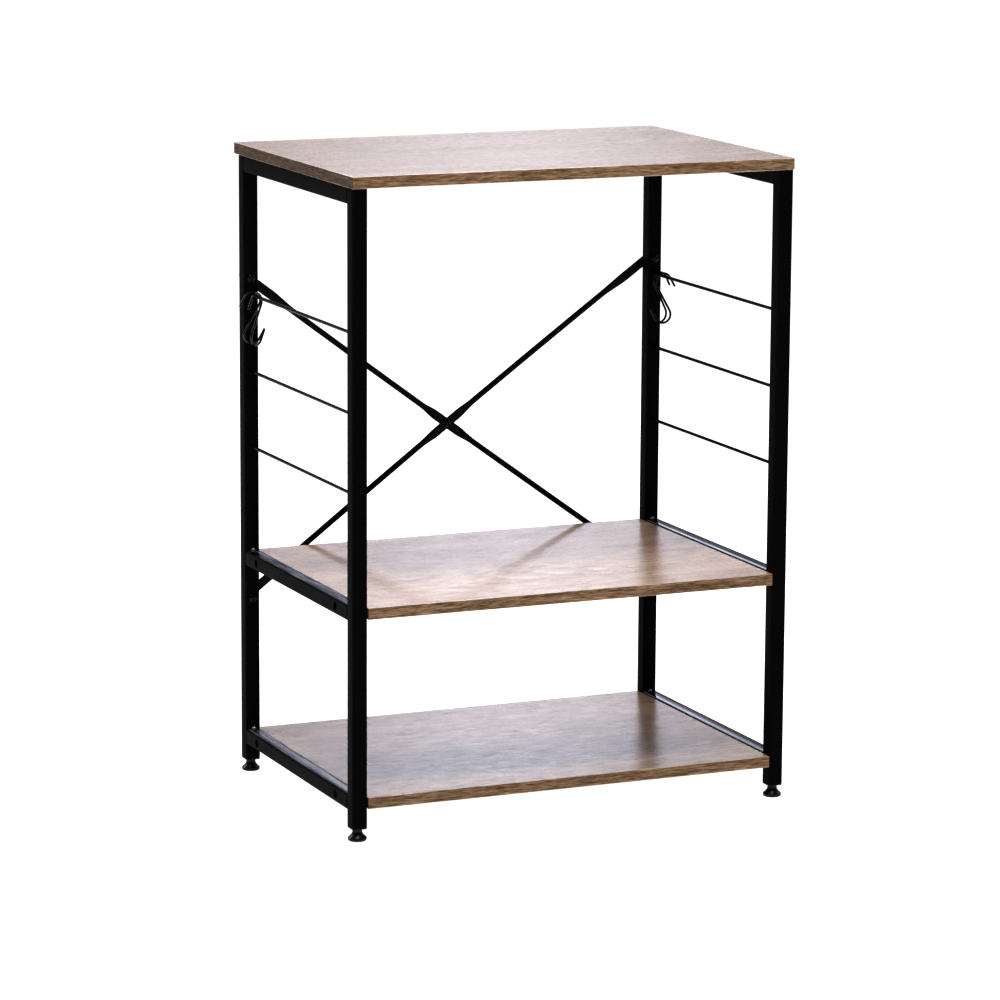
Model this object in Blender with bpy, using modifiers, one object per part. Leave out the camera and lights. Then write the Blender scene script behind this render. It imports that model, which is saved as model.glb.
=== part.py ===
"""Kitchen shelf: two welded side frames of square tube, three boards,
a crossed brace behind, side rods with hanging S-hooks, and levelling feet.

World frame: X is the width, Y the depth (front at -Y), Z up.
The origin is on the floor under the middle of the shelf.
"""
import math

import bmesh
import bpy
from mathutils import Quaternion, Vector

MM = 0.001

# ---------------------------------------------------------------- dimensions
GAP = 0.3 * MM                  # kept between pieces that touch

TOP_W = 600.0 * MM              # top board
TOP_D = 420.0 * MM
BOARD_T = 15.0 * MM
HEIGHT = 833.2 * MM             # floor to top surface
BOARD_EDGE = 0.8 * MM           # eased board edges

TUBE = 20.0 * MM                # square tube of the side frames
WALL = 1.2 * MM
TUBE_R = 2.0 * MM               # outside corner radius of the tube
FRAME_X = 290.0 * MM            # centre plane of each side frame
FRONT_LEG_Y = -198.09 * MM      # leg centres
REAR_LEG_Y = 185.05 * MM
LEG_BOTTOM = 17.4 * MM
LEG_TOP = HEIGHT - BOARD_T - GAP

MID_TOP = 297.65 * MM           # upper surfaces of the lower two boards
LOW_TOP = 56.3 * MM
RAIL_LIP = 1.65 * MM            # a rail stands this much above its board
BOARD_END_GAP = 0.6 * MM        # board end to rail
LOW_BOARD_FRONT = -209.6 * MM
LOW_BOARD_REAR = 188.4 * MM

ROD_R = 2.2 * MM
ROD_Z = {"left": (637.6 * MM, 536.8 * MM, 437.2 * MM),
         "right": (636.3 * MM, 536.6 * MM, 436.7 * MM)}

BRACE_R = 4.0 * MM              # round part of a brace bar
BRACE_FLAT_W = 12.4 * MM        # its pressed ends and middle
BRACE_FLAT_T = 2.0 * MM
BRACE_BOLT_Z = {("upper", "left"): 659.0 * MM, ("upper", "right"): 656.5 * MM,
                ("lower", "left"): 234.0 * MM, ("lower", "right"): 234.0 * MM}
BRACE_CROSS = (-4.0 * MM, 446.5 * MM)   # x and z of the bolt where the bars cross
BRACE_END_FLAT = 41.0 * MM      # an end is flat this far before its bolt
BRACE_END_TAPER = 43.0 * MM     # and then turns round over this length
BRACE_MID_FLAT = 18.0 * MM      # half the length of the flat at the crossing
BRACE_MID_TAPER = 28.0 * MM
BRACE_PAST_BOLT = 3.4 * MM      # from the bolt to the centre of the round tip
BAR_SIDES = 8

BOLT_R = 3.0 * MM               # brace end bolts
BOLT_HEAD_R = 5.2 * MM
BOLT_HEAD_H = 2.9 * MM
NUT_AF = 10.0 * MM
NUT_T = 5.0 * MM
MID_BOLT_R = 2.5 * MM           # bolt at the crossing
MID_HEAD_R = 4.6 * MM
MID_HEAD_H = 2.6 * MM
MID_NUT_AF = 8.0 * MM
MID_NUT_T = 4.0 * MM

SCREW_R = 1.9 * MM              # board fixing screws
SCREW_HEAD_R = 4.0 * MM
SCREW_HEAD_H = 2.4 * MM
SIDE_SCREW_L = 24.0 * MM
TOP_SCREW_L = 12.5 * MM
ACCESS_R = 5.5 * MM             # access hole in a rail's outer wall
SCREW_FROM_LEG_FACE = 60.0 * MM

FOOT_H = 15.2 * MM              # under the insert
FOOT_BASE_R = 11.9 * MM
FOOT_NECK_R = 6.5 * MM
STUD_R = 4.0 * MM
STUD_TOP = 38.0 * MM

HOOK_WIRE_R = 1.5 * MM
HOOK_BEND_R = 11.2 * MM         # centre line of each U bend
HOOK_SHANK = 39.0 * MM          # straight wire between the bends
HOOK_TIP = 15.0 * MM            # straight wire after each bend
HOOK_Y = {"left_1": 172.2 * MM, "left_2": 156.0 * MM,
          "right_1": 157.0 * MM, "right_2": 148.0 * MM}
HOOK_TWIST = {"left_1": 0.0, "left_2": math.radians(33.0),
              "right_1": math.radians(18.0), "right_2": 0.0}

HALF = TUBE / 2
LEG_GAP_FRONT = FRONT_LEG_Y + HALF      # faces of the legs that look at each other
LEG_GAP_REAR = REAR_LEG_Y - HALF
RAIL_LEN = LEG_GAP_REAR - LEG_GAP_FRONT - 2 * GAP
RAIL_Y = (LEG_GAP_REAR + LEG_GAP_FRONT) / 2
TOP_RAIL_Z = LEG_TOP - HALF
MID_RAIL_Z = MID_TOP + RAIL_LIP - HALF
LOW_RAIL_Z = LOW_TOP + RAIL_LIP - HALF
SCREW_Y = (FRONT_LEG_Y - HALF + SCREW_FROM_LEG_FACE,
           REAR_LEG_Y + HALF - SCREW_FROM_LEG_FACE)
REAR_FACE = REAR_LEG_Y + HALF           # rear plane of the frames

# ------------------------------------------------------------------- scene
for old in list(bpy.data.objects):
    bpy.data.objects.remove(old, do_unlink=True)

PARTS = bpy.data.collections.new("kitchen_shelf")
CUTTERS = bpy.data.collections.new("cutters")
bpy.context.scene.collection.children.link(PARTS)
bpy.context.scene.collection.children.link(CUTTERS)


def material(name, rgb, roughness, metallic=0.0):
    mat = bpy.data.materials.new(name)
    mat.use_nodes = True
    shader = mat.node_tree.nodes["Principled BSDF"]
    shader.inputs["Base Color"].default_value = (*rgb, 1.0)
    shader.inputs["Roughness"].default_value = roughness
    shader.inputs["Metallic"].default_value = metallic
    mat.diffuse_color = (*rgb, 1.0)
    return mat


BLACK_STEEL = (0.012, 0.012, 0.013)
BOARD_OAK = (0.52, 0.37, 0.27)
BLACK_PLASTIC = (0.010, 0.010, 0.011)
ZINC = (0.55, 0.55, 0.56)


def add(name, mesh, mat, location=(0, 0, 0), rotation=(0, 0, 0), parent=None):
    obj = bpy.data.objects.new(name, mesh)
    PARTS.objects.link(obj)
    if not mesh.materials:
        mesh.materials.append(mat)
    obj.location = location
    obj.rotation_euler = rotation
    if parent is not None:
        obj.parent = parent
    return obj


def empty(name, location=(0, 0, 0)):
    obj = bpy.data.objects.new(name, None)
    PARTS.objects.link(obj)
    obj.location = location
    obj.empty_display_size = 0.03
    return obj


def finish_mesh(bm, name, smooth_angle=None):
    mesh = bpy.data.meshes.new(name)
    bm.to_mesh(mesh)
    bm.free()
    if smooth_angle is not None:
        mesh.shade_smooth()
        mesh.set_sharp_from_angle(angle=math.radians(smooth_angle))
    return mesh


def box_mesh(name, size, edge=0.0, segments=2):
    bm = bmesh.new()
    bmesh.ops.create_cube(bm, size=1.0)
    bmesh.ops.scale(bm, vec=Vector(size), verts=bm.verts)
    if edge > 0:
        bmesh.ops.bevel(bm, geom=list(bm.edges), offset=edge,
                        segments=segments, profile=0.5, affect='EDGES')
    return finish_mesh(bm, name)


def tube_mesh(name, length, axis):
    """Skin of a square tube with rounded corners, open at both ends."""
    bm = bmesh.new()
    bmesh.ops.create_cube(bm, size=1.0)
    size = [TUBE, TUBE, TUBE]
    size[axis] = length
    bmesh.ops.scale(bm, vec=Vector(size), verts=bm.verts)
    long_edges = [e for e in bm.edges
                  if abs((e.verts[0].co - e.verts[1].co)[axis]) > length / 2]
    bmesh.ops.bevel(bm, geom=long_edges, offset=TUBE_R, segments=3,
                    profile=0.5, affect='EDGES')
    bm.normal_update()
    caps = [f for f in bm.faces if abs(f.normal[axis]) > 0.9]
    bmesh.ops.delete(bm, geom=caps, context='FACES_ONLY')
    mesh = bpy.data.meshes.new(name)
    bm.to_mesh(mesh)
    bm.free()
    mesh.shade_smooth()
    mesh.set_sharp_from_angle(angle=math.radians(40))
    return mesh


def tube_wall(obj):
    mod = obj.modifiers.new("tube_wall", 'SOLIDIFY')
    mod.thickness = WALL
    mod.offset = -1.0
    mod.use_even_offset = True
    return mod


def cylinder_into(bm, radius, start, end, segments=16):
    """Add a capped cylinder between two points to a cutter."""
    start, end = Vector(start), Vector(end)
    span = end - start
    made = bmesh.ops.create_cone(bm, cap_ends=True, segments=segments,
                                 radius1=radius, radius2=radius,
                                 depth=span.length)
    spin = Quaternion((0, 0, 1), math.radians(6.5))
    turn = Vector((0, 0, 1)).rotation_difference(span.normalized()) @ spin
    for v in made["verts"]:
        v.co = turn @ v.co + (start + end) / 2


def drill(obj, holes):
    """Cut round holes, each given as (radius, start, end)."""
    for i, (radius, start, end) in enumerate(holes):
        name = "hole_%d_%s" % (i + 1, obj.name)
        bm = bmesh.new()
        cylinder_into(bm, radius, start, end)
        tool = bpy.data.objects.new(name, finish_mesh(bm, name))
        CUTTERS.objects.link(tool)
        tool.hide_render = True
        tool.display_type = 'WIRE'
        mod = obj.modifiers.new(name, 'BOOLEAN')
        mod.operation = 'DIFFERENCE'
        mod.solver = 'EXACT'
        mod.object = tool


def turned(name, profile, mat, steps, location, rotation=(0, 0, 0), parent=None):
    """Turn a profile of (radius, height) points about Z. It starts on the
    axis at the top, runs down the outside and ends on the axis."""
    bm = bmesh.new()
    verts = [bm.verts.new((r, 0.0, z)) for r, z in profile]
    for a, b in zip(verts[:-1], verts[1:]):
        bm.edges.new((a, b))
    mesh = bpy.data.meshes.new(name)
    bm.to_mesh(mesh)
    bm.free()
    obj = add(name, mesh, mat, location, rotation, parent)
    mod = obj.modifiers.new("turn", 'SCREW')
    mod.axis = 'Z'
    mod.angle = 2 * math.pi
    mod.steps = steps
    mod.render_steps = steps
    mod.use_merge_vertices = True
    mod.merge_threshold = 0.00001
    mod.use_smooth_shade = True
    return obj


# --------------------------------------------------------------- side frames
def side_frame(side, sign):
    root = empty("side_frame_" + side)
    steel = lambda n: material(n, BLACK_STEEL, 0.38, 0.0)
    x = sign * FRAME_X
    leg_len = LEG_TOP - LEG_BOTTOM
    leg_z = (LEG_TOP + LEG_BOTTOM) / 2

    front = add("front_leg_" + side, tube_mesh("front_leg_" + side, leg_len, 2),
                steel("front_leg_" + side), (x, FRONT_LEG_Y, leg_z), parent=root)
    tube_wall(front)
    rear = add("rear_leg_" + side, tube_mesh("rear_leg_" + side, leg_len, 2),
               steel("rear_leg_" + side), (x, REAR_LEG_Y, leg_z), parent=root)
    tube_wall(rear)
    bolt_holes = [(BOLT_R + GAP, (x, REAR_LEG_Y - TUBE, z), (x, REAR_LEG_Y + TUBE, z))
                  for z in (BRACE_BOLT_Z["upper", side], BRACE_BOLT_Z["lower", side])]
    drill(rear, bolt_holes)

    inner = x - sign * HALF
    outer = x + sign * HALF
    for level, z in (("top", TOP_RAIL_Z), ("middle", MID_RAIL_Z), ("bottom", LOW_RAIL_Z)):
        name = level + "_rail_" + side
        rail = add(name, tube_mesh(name, RAIL_LEN, 1), steel(name),
                   (x, RAIL_Y, z), parent=root)
        tube_wall(rail)
        holes = []
        for y in SCREW_Y:
            if level == "top":
                # screws drive up into the top board from inside the rail
                holes.append((ACCESS_R, (x, y, z - TUBE), (x, y, z)))
                holes.append((SCREW_R + GAP, (x, y, z + HALF / 2), (x, y, z + TUBE)))
            else:
                # screws drive sideways into the board's end
                holes.append((ACCESS_R, (outer + sign * HALF, y, z), (x, y, z)))
                holes.append((SCREW_R + GAP, (x - sign * HALF / 2, y, z),
                              (inner - sign * HALF, y, z)))
        drill(rail, holes)

    for i, z in enumerate(ROD_Z[side]):
        name = ("upper", "middle", "lower")[i] + "_rod_" + side
        bm = bmesh.new()
        bmesh.ops.create_cone(bm, cap_ends=True, segments=12, radius1=ROD_R,
                              radius2=ROD_R, depth=RAIL_LEN)
        add(name, finish_mesh(bm, name, 40), steel(name), (x, RAIL_Y, z),
            (math.radians(90), 0, 0), root)


side_frame("left", -1)
side_frame("right", 1)

# -------------------------------------------------------------------- boards
boards = empty("boards")


def screw_hole_ends(z):
    """Pilot holes in both ends of a lower board."""
    end = FRAME_X - HALF - BOARD_END_GAP
    return [(SCREW_R + GAP, (sign * (end + 2 * MM), y, z),
             (sign * (FRAME_X - HALF + WALL + GAP - SIDE_SCREW_L - GAP), y, z))
            for sign in (-1, 1) for y in SCREW_Y]


top = add("top_board", box_mesh("top_board", (TOP_W, TOP_D, BOARD_T), BOARD_EDGE),
          material("top_board", BOARD_OAK, 0.42),
          (0, 0, HEIGHT - BOARD_T / 2), parent=boards)
drill(top, [(SCREW_R + GAP, (s * FRAME_X, y, HEIGHT - BOARD_T - 2 * MM),
             (s * FRAME_X, y, LEG_TOP - WALL - GAP + TOP_SCREW_L + GAP))
            for s in (-1, 1) for y in SCREW_Y])

low_size = (2 * (FRAME_X - HALF - BOARD_END_GAP),
            LOW_BOARD_REAR - LOW_BOARD_FRONT, BOARD_T)
low_y = (LOW_BOARD_REAR + LOW_BOARD_FRONT) / 2
for name, z_top, rail_z in (("middle_board", MID_TOP, MID_RAIL_Z),
                            ("bottom_board", LOW_TOP, LOW_RAIL_Z)):
    board = add(name, box_mesh(name, low_size, BOARD_EDGE),
                material(name, BOARD_OAK, 0.42),
                (0, low_y, z_top - BOARD_T / 2), parent=boards)
    drill(board, screw_hole_ends(rail_z))

# -------------------------------------------------------- board fixing screws
screws = empty("board_screws")


def screw(name, length, location, rotation):
    """Pan-head screw: the head stands on the local +Z side of its seat."""
    r, h = SCREW_HEAD_R, SCREW_HEAD_H
    profile = [(0, h), (r * 0.55, h * 0.93), (r * 0.88, h * 0.62), (r, h * 0.2),
               (r * 0.97, 0), (SCREW_R, 0), (SCREW_R, -length * 0.86),
               (0, -length)]
    turned(name, profile, material(name, ZINC, 0.35, 1.0), 10,
           location, rotation, screws)


for side, sign in (("left", -1), ("right", 1)):
    for place, y in (("front", SCREW_Y[0]), ("rear", SCREW_Y[1])):
        # local +Z looks down for the top board, outwards for the other two
        screw("top_screw_%s_%s" % (place, side), TOP_SCREW_L,
              (sign * FRAME_X, y, LEG_TOP - WALL - GAP), (math.radians(180), 0, 0))
        seat = sign * (FRAME_X - HALF + WALL + GAP)
        for level, z in (("middle", MID_RAIL_Z), ("bottom", LOW_RAIL_Z)):
            screw("%s_screw_%s_%s" % (level, place, side), SIDE_SCREW_L,
                  (seat, y, z), (0, sign * math.radians(90), 0))

# --------------------------------------------------------------- cross brace
brace = empty("cross_brace", (BRACE_CROSS[0], REAR_FACE, BRACE_CROSS[1]))
END_Y = GAP + BRACE_FLAT_T / 2                      # flat ends, behind the legs
BAR_Y = GAP + BRACE_R                               # round part


def smooth(t):
    t = min(1.0, max(0.0, t))
    return t * t * (3 - 2 * t)


def bar_section(s, half, cross, mid_y):
    """Width, thickness and depth position of a bar at s from its middle."""
    d = abs(s)
    tip_centre = half + BRACE_PAST_BOLT
    to_end = smooth((d - (half - BRACE_END_FLAT - BRACE_END_TAPER)) / BRACE_END_TAPER)
    to_mid = 1 - smooth((abs(s - cross) - BRACE_MID_FLAT) / BRACE_MID_TAPER)
    width = 2 * BRACE_R + (BRACE_FLAT_W - 2 * BRACE_R) * max(to_end, to_mid)
    thick = 2 * BRACE_R + (BRACE_FLAT_T - 2 * BRACE_R) * max(to_end, to_mid)
    y = BAR_Y + (END_Y - BAR_Y) * to_end + (mid_y - BAR_Y) * to_mid
    if d > tip_centre:
        past = min(1.0, (d - tip_centre) / (BRACE_FLAT_W / 2))
        width = max(thick * 1.001, BRACE_FLAT_W * math.sqrt(1 - past * past))
    return width, thick, y


def bar(name, start_z, end_z, mid_y):
    """A bar from the left bolt to the right one, sprung through the crossing."""
    rise = end_z - start_z
    half = math.hypot(2 * FRAME_X, rise) / 2
    along = Vector((2 * FRAME_X, 0, rise)).normalized()
    across = Vector((-along.z, 0, along.x))
    back = Vector((0, 1, 0))
    middle = Vector((0, REAR_FACE, (start_z + end_z) / 2))
    to_cross = Vector((BRACE_CROSS[0], REAR_FACE, BRACE_CROSS[1])) - middle
    cross = to_cross.dot(along)
    bow = to_cross.dot(across) / math.cos(math.pi / 2 * cross / half)

    stations = [cross, half, -half]
    for sign in (-1, 1):
        for k in range(6):
            stations.append(cross + sign * (BRACE_MID_FLAT + BRACE_MID_TAPER * k / 5))
        for k in range(6):
            stations.append(sign * (half - BRACE_END_FLAT - BRACE_END_TAPER * k / 5))
        for k in range(4):
            stations.append(sign * (85 + 40 * k) * MM)
        tip = half + BRACE_PAST_BOLT
        for a in (0, 25, 50, 70, 80.5):
            stations.append(sign * (tip + BRACE_FLAT_W / 2 * math.sin(math.radians(a))))

    bm = bmesh.new()
    rings = []
    for s in sorted(stations):
        w, t, y = bar_section(s, half, cross, mid_y)
        lift = bow * math.cos(math.pi / 2 * s / half)
        ring = []
        for k in range(BAR_SIDES):
            a = math.radians(360 / BAR_SIDES * (k + 0.5))
            side = 1 if math.cos(a) > 0 else -1
            u = side * (w - t) / 2 + t / 2 * math.cos(a)
            v = y + t / 2 * math.sin(a)
            ring.append(bm.verts.new(middle + along * s + across * (u + lift) + back * v))
        rings.append(ring)
    for lower, upper in zip(rings[:-1], rings[1:]):
        for k in range(BAR_SIDES):
            n = (k + 1) % BAR_SIDES
            bm.faces.new((lower[k], lower[n], upper[n], upper[k]))
    bm.faces.new(list(reversed(rings[0])))
    bm.faces.new(rings[-1])
    if bm.calc_volume(signed=True) < 0:
        bmesh.ops.reverse_faces(bm, faces=bm.faces)
    bmesh.ops.translate(bm, vec=-brace.location, verts=bm.verts)
    obj = add(name, finish_mesh(bm, name, 40),
              material(name, BLACK_STEEL, 0.35), parent=brace)
    holes = []
    for radius, x, z in ((MID_BOLT_R, *BRACE_CROSS), (BOLT_R, -FRAME_X, start_z),
                         (BOLT_R, FRAME_X, end_z)):
        holes.append((radius + GAP, (x, REAR_FACE - 4 * MM, z), (x, REAR_FACE + 14 * MM, z)))
    drill(obj, holes)
    return obj


MID_FRONT_Y = GAP + BRACE_R - BRACE_FLAT_T / 2 - GAP / 2
MID_REAR_Y = GAP + BRACE_R + BRACE_FLAT_T / 2 + GAP / 2
bar("brace_bar_rising", BRACE_BOLT_Z["lower", "left"],
    BRACE_BOLT_Z["upper", "right"], MID_FRONT_Y)
bar("brace_bar_falling", BRACE_BOLT_Z["upper", "left"],
    BRACE_BOLT_Z["lower", "right"], MID_REAR_Y)


def bolt(name, shank_r, head_r, head_h, length, location, steps):
    """Domed bolt along Y, with its head at the front."""
    profile = [(0, head_h), (head_r * 0.45, head_h * 0.93),
               (head_r * 0.78, head_h * 0.70), (head_r * 0.96, head_h * 0.32),
               (head_r, 0.0), (shank_r, 0.0), (shank_r, -length + 0.5 * MM),
               (shank_r - 0.5 * MM, -length), (0, -length)]
    return turned(name, profile, material(name, ZINC, 0.3, 1.0), steps,
                  location, (math.radians(90), 0, 0))


def nut(name, across_flats, thick, hole_r, location, turn):
    """Hexagon nut along Y with a plain hole."""
    bm = bmesh.new()
    bmesh.ops.create_cone(bm, cap_ends=True, segments=6,
                          radius1=across_flats / math.sqrt(3),
                          radius2=across_flats / math.sqrt(3), depth=thick)
    mesh = finish_mesh(bm, name)
    obj = add(name, mesh, material(name, ZINC, 0.35, 1.0), location,
              (math.radians(90), turn, 0))
    x, y, z = location
    drill(obj, [(hole_r, (x, y - thick, z), (x, y + thick, z))])
    return obj


NUT_SEAT = REAR_FACE + GAP + BRACE_FLAT_T + GAP
HEAD_SEAT = LEG_GAP_REAR - GAP
BOLT_L = NUT_SEAT + NUT_T + 1.3 * MM - HEAD_SEAT
for side, sign in (("left", -1), ("right", 1)):
    for place in ("upper", "lower"):
        z = BRACE_BOLT_Z[place, side]
        bolt("brace_bolt_%s_%s" % (place, side), BOLT_R, BOLT_HEAD_R, BOLT_HEAD_H,
             BOLT_L, (sign * FRAME_X, HEAD_SEAT, z), 12)
        nut("brace_nut_%s_%s" % (place, side), NUT_AF, NUT_T, BOLT_R + GAP,
            (sign * FRAME_X, NUT_SEAT + NUT_T / 2, z), math.radians(15))

mid_front = REAR_FACE + MID_FRONT_Y - BRACE_FLAT_T / 2 - GAP
mid_nut = REAR_FACE + MID_REAR_Y + BRACE_FLAT_T / 2 + GAP
bolt("brace_centre_bolt", MID_BOLT_R, MID_HEAD_R, MID_HEAD_H,
     mid_nut + MID_NUT_T + 1.0 * MM - mid_front,
     (BRACE_CROSS[0], mid_front, BRACE_CROSS[1]), 12)
nut("brace_centre_nut", MID_NUT_AF, MID_NUT_T, MID_BOLT_R + GAP,
    (BRACE_CROSS[0], mid_nut + MID_NUT_T / 2, BRACE_CROSS[1]), math.radians(10))

# ------------------------------------------------- leg inserts and their feet
INSERT_PLUG = TUBE - 2 * WALL - 2 * GAP
INSERT_FLANGE = TUBE - 0.6 * MM
FLANGE_LOW = 15.5 * MM
FLANGE_TOP = LEG_BOTTOM - GAP
PLUG_TOP = 37.5 * MM


def leg_insert(name, x, y):
    """Square plug with a flange under the tube's end and a round stud hole."""
    flange_t = FLANGE_TOP - FLANGE_LOW
    obj = add(name, box_mesh(name, (INSERT_FLANGE, INSERT_FLANGE, flange_t), 0.35 * MM, 1),
              material(name, BLACK_PLASTIC, 0.5), (x, y, (FLANGE_TOP + FLANGE_LOW) / 2))
    plug = bpy.data.objects.new("plug_" + name, box_mesh(
        "plug_" + name, (INSERT_PLUG, INSERT_PLUG, PLUG_TOP - FLANGE_LOW - 0.7 * MM), 0.6 * MM, 1))
    CUTTERS.objects.link(plug)
    plug.location = (x, y, (PLUG_TOP + FLANGE_LOW + 0.7 * MM) / 2)
    plug.hide_render = True
    plug.display_type = 'WIRE'
    join = obj.modifiers.new("plug", 'BOOLEAN')
    join.operation = 'UNION'
    join.solver = 'EXACT'
    join.object = plug
    drill(obj, [(STUD_R + GAP, (x, y, FLANGE_LOW - 5 * MM), (x, y, PLUG_TOP + 5 * MM))])
    return obj


def foot(name, x, y):
    """Levelling foot: stud, neck, cone and rounded base, on the floor at rest."""
    r, n = FOOT_BASE_R, FOOT_NECK_R
    profile = [(0, STUD_TOP), (STUD_R - 0.6 * MM, STUD_TOP), (STUD_R, STUD_TOP - 0.6 * MM),
               (STUD_R, FOOT_H), (n, FOOT_H), (n, FOOT_H - 3.6 * MM),
               (n + 0.8 * MM, FOOT_H - 5.2 * MM), (n + 2.6 * MM, FOOT_H - 8.2 * MM),
               (r - 0.8 * MM, 4.6 * MM), (r, 3.4 * MM), (r, 1.2 * MM),
               (r - 0.4 * MM, 0.4 * MM), (r - 1.2 * MM, 0), (0, 0)]
    return turned(name, profile, material(name, BLACK_PLASTIC, 0.4), 16, (x, y, 0))


for side, sign in (("left", -1), ("right", 1)):
    for place, y in (("front", FRONT_LEG_Y), ("rear", REAR_LEG_Y)):
        leg_insert("leg_insert_%s_%s" % (place, side), sign * FRAME_X, y)
        foot("levelling_foot_%s_%s" % (place, side), sign * FRAME_X, y)

# ------------------------------------------------------------------- S-hooks
# Each hook hangs on an upper rod: the rod's axis is its pivot, and the inside
# of its upper bend keeps the same small gap to the rod at every angle. It hangs
# aslant, with the middle of its shank right under the upper bend's centre.
BEND_DROP = HOOK_BEND_R - HOOK_WIRE_R - ROD_R - GAP
HOOK_SLANT = math.atan2(2 * HOOK_BEND_R, HOOK_SHANK)


def hook_points(mirror):
    """Centre line of the S in its own XZ plane, from the upper tip to the lower."""
    r, n = HOOK_BEND_R, 13
    upper = [(r, -HOOK_TIP)]
    for k in range(n + 1):
        a = math.pi * k / n
        upper.append((r * math.cos(a), r * math.sin(a)))
    # the lower half is the upper one turned half round about the shank's middle
    lower = [(-2 * r - x, -HOOK_SHANK - z) for x, z in reversed(upper)]
    ca, sa = math.cos(HOOK_SLANT), math.sin(HOOK_SLANT)
    turn = -1 if mirror else 1
    return [Vector((turn * (x * ca - z * sa), 0, x * sa + z * ca - BEND_DROP))
            for x, z in upper + lower]


def hook(name, mirror, location, twist):
    curve = bpy.data.curves.new(name, 'CURVE')
    curve.dimensions = '3D'
    spline = curve.splines.new('POLY')
    pts = hook_points(mirror)
    spline.points.add(len(pts) - 1)
    for point, co in zip(spline.points, pts):
        point.co = (*co, 1.0)
    curve.bevel_depth = HOOK_WIRE_R
    curve.bevel_resolution = 2
    curve.render_resolution_u = 0
    curve.use_fill_caps = True
    obj = bpy.data.objects.new(name, curve)
    PARTS.objects.link(obj)
    obj.location = location
    obj.rotation_euler = (0, 0, twist)
    curve.materials.append(material(name, BLACK_PLASTIC, 0.18))
    return obj


for key, y in HOOK_Y.items():
    left = key.startswith("left")
    hook("s_hook_" + key, left,
         ((-1 if left else 1) * FRAME_X, y,
          ROD_Z["left" if left else "right"][0]), HOOK_TWIST[key])
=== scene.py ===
"""Looks of the kitchen shelf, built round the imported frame.

World frame: X width, Y depth (front at -Y), Z up, metres, origin on the floor
under the middle of the shelf.
"""
import math

import bmesh
import bpy
from mathutils import Matrix, Quaternion, Vector


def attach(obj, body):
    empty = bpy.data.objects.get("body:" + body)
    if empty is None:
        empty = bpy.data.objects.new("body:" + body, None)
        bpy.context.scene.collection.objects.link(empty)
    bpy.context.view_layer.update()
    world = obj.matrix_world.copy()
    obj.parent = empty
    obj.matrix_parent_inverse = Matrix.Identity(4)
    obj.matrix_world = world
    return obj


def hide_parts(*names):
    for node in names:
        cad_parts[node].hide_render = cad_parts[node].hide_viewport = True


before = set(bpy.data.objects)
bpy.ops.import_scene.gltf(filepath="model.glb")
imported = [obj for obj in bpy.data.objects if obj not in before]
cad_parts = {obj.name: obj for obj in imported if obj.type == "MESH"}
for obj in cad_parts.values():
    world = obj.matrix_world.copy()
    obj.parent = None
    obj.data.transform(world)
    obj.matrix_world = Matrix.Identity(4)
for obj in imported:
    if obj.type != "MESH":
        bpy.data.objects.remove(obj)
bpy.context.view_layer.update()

MM = 0.001
ROOT = "shelf"

# ------------------------------------------------------- sizes, as in the CAD
GAP = 0.3 * MM
TOP_W, TOP_D, BOARD_T, HEIGHT = 600 * MM, 420 * MM, 15 * MM, 833.2 * MM
TUBE, WALL = 20 * MM, 1.2 * MM
HALF = TUBE / 2
FRAME_X = 290 * MM
FRONT_LEG_Y, REAR_LEG_Y = -198.09 * MM, 185.05 * MM
LEG_BOTTOM = 17.4 * MM
LEG_TOP = HEIGHT - BOARD_T - GAP
MID_TOP, LOW_TOP, RAIL_LIP = 297.65 * MM, 56.3 * MM, 1.65 * MM
BOARD_END_GAP = 0.6 * MM
LOW_FRONT, LOW_REAR = -209.6 * MM, 188.4 * MM
ROD_R = 2.2 * MM
ROD_Z = {"left": (637.6 * MM, 536.8 * MM, 437.2 * MM),
         "right": (636.3 * MM, 536.6 * MM, 436.7 * MM)}
BRACE_R, FLAT_W, FLAT_T = 4 * MM, 12.4 * MM, 2 * MM
BOLT_Z = {("upper", "left"): 659.0 * MM, ("upper", "right"): 656.5 * MM,
          ("lower", "left"): 234.0 * MM, ("lower", "right"): 234.0 * MM}
CROSS_X, CROSS_Z = -4.0 * MM, 446.5 * MM
END_FLAT, END_TAPER, MID_FLAT, MID_TAPER = 41 * MM, 43 * MM, 18 * MM, 28 * MM
PAST_BOLT = 3.4 * MM
BOLT_R, BOLT_HEAD_R, BOLT_HEAD_H = 3 * MM, 5.2 * MM, 2.9 * MM
NUT_AF, NUT_T = 10 * MM, 5 * MM
MID_BOLT_R, MID_HEAD_R, MID_HEAD_H = 2.5 * MM, 4.6 * MM, 2.6 * MM
MID_NUT_AF, MID_NUT_T = 8 * MM, 4 * MM
SCREW_R, SCREW_HEAD_R, SCREW_HEAD_H = 1.9 * MM, 4 * MM, 2.4 * MM
SIDE_SCREW_L, TOP_SCREW_L = 24 * MM, 12.5 * MM
ACCESS_R = 5.5 * MM
FOOT_H, FOOT_BASE_R, FOOT_NECK_R = 15.2 * MM, 11.9 * MM, 6.5 * MM
STUD_R, STUD_TOP = 4 * MM, 38 * MM
WIRE_R, BEND_R, SHANK, HOOK_TIP = 1.5 * MM, 11.2 * MM, 39 * MM, 15 * MM
HOOKS = {"left_1": (172.2 * MM, 0.0), "left_2": (156.0 * MM, math.radians(33)),
         "right_1": (157.0 * MM, math.radians(18)), "right_2": (148.0 * MM, 0.0)}

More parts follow.
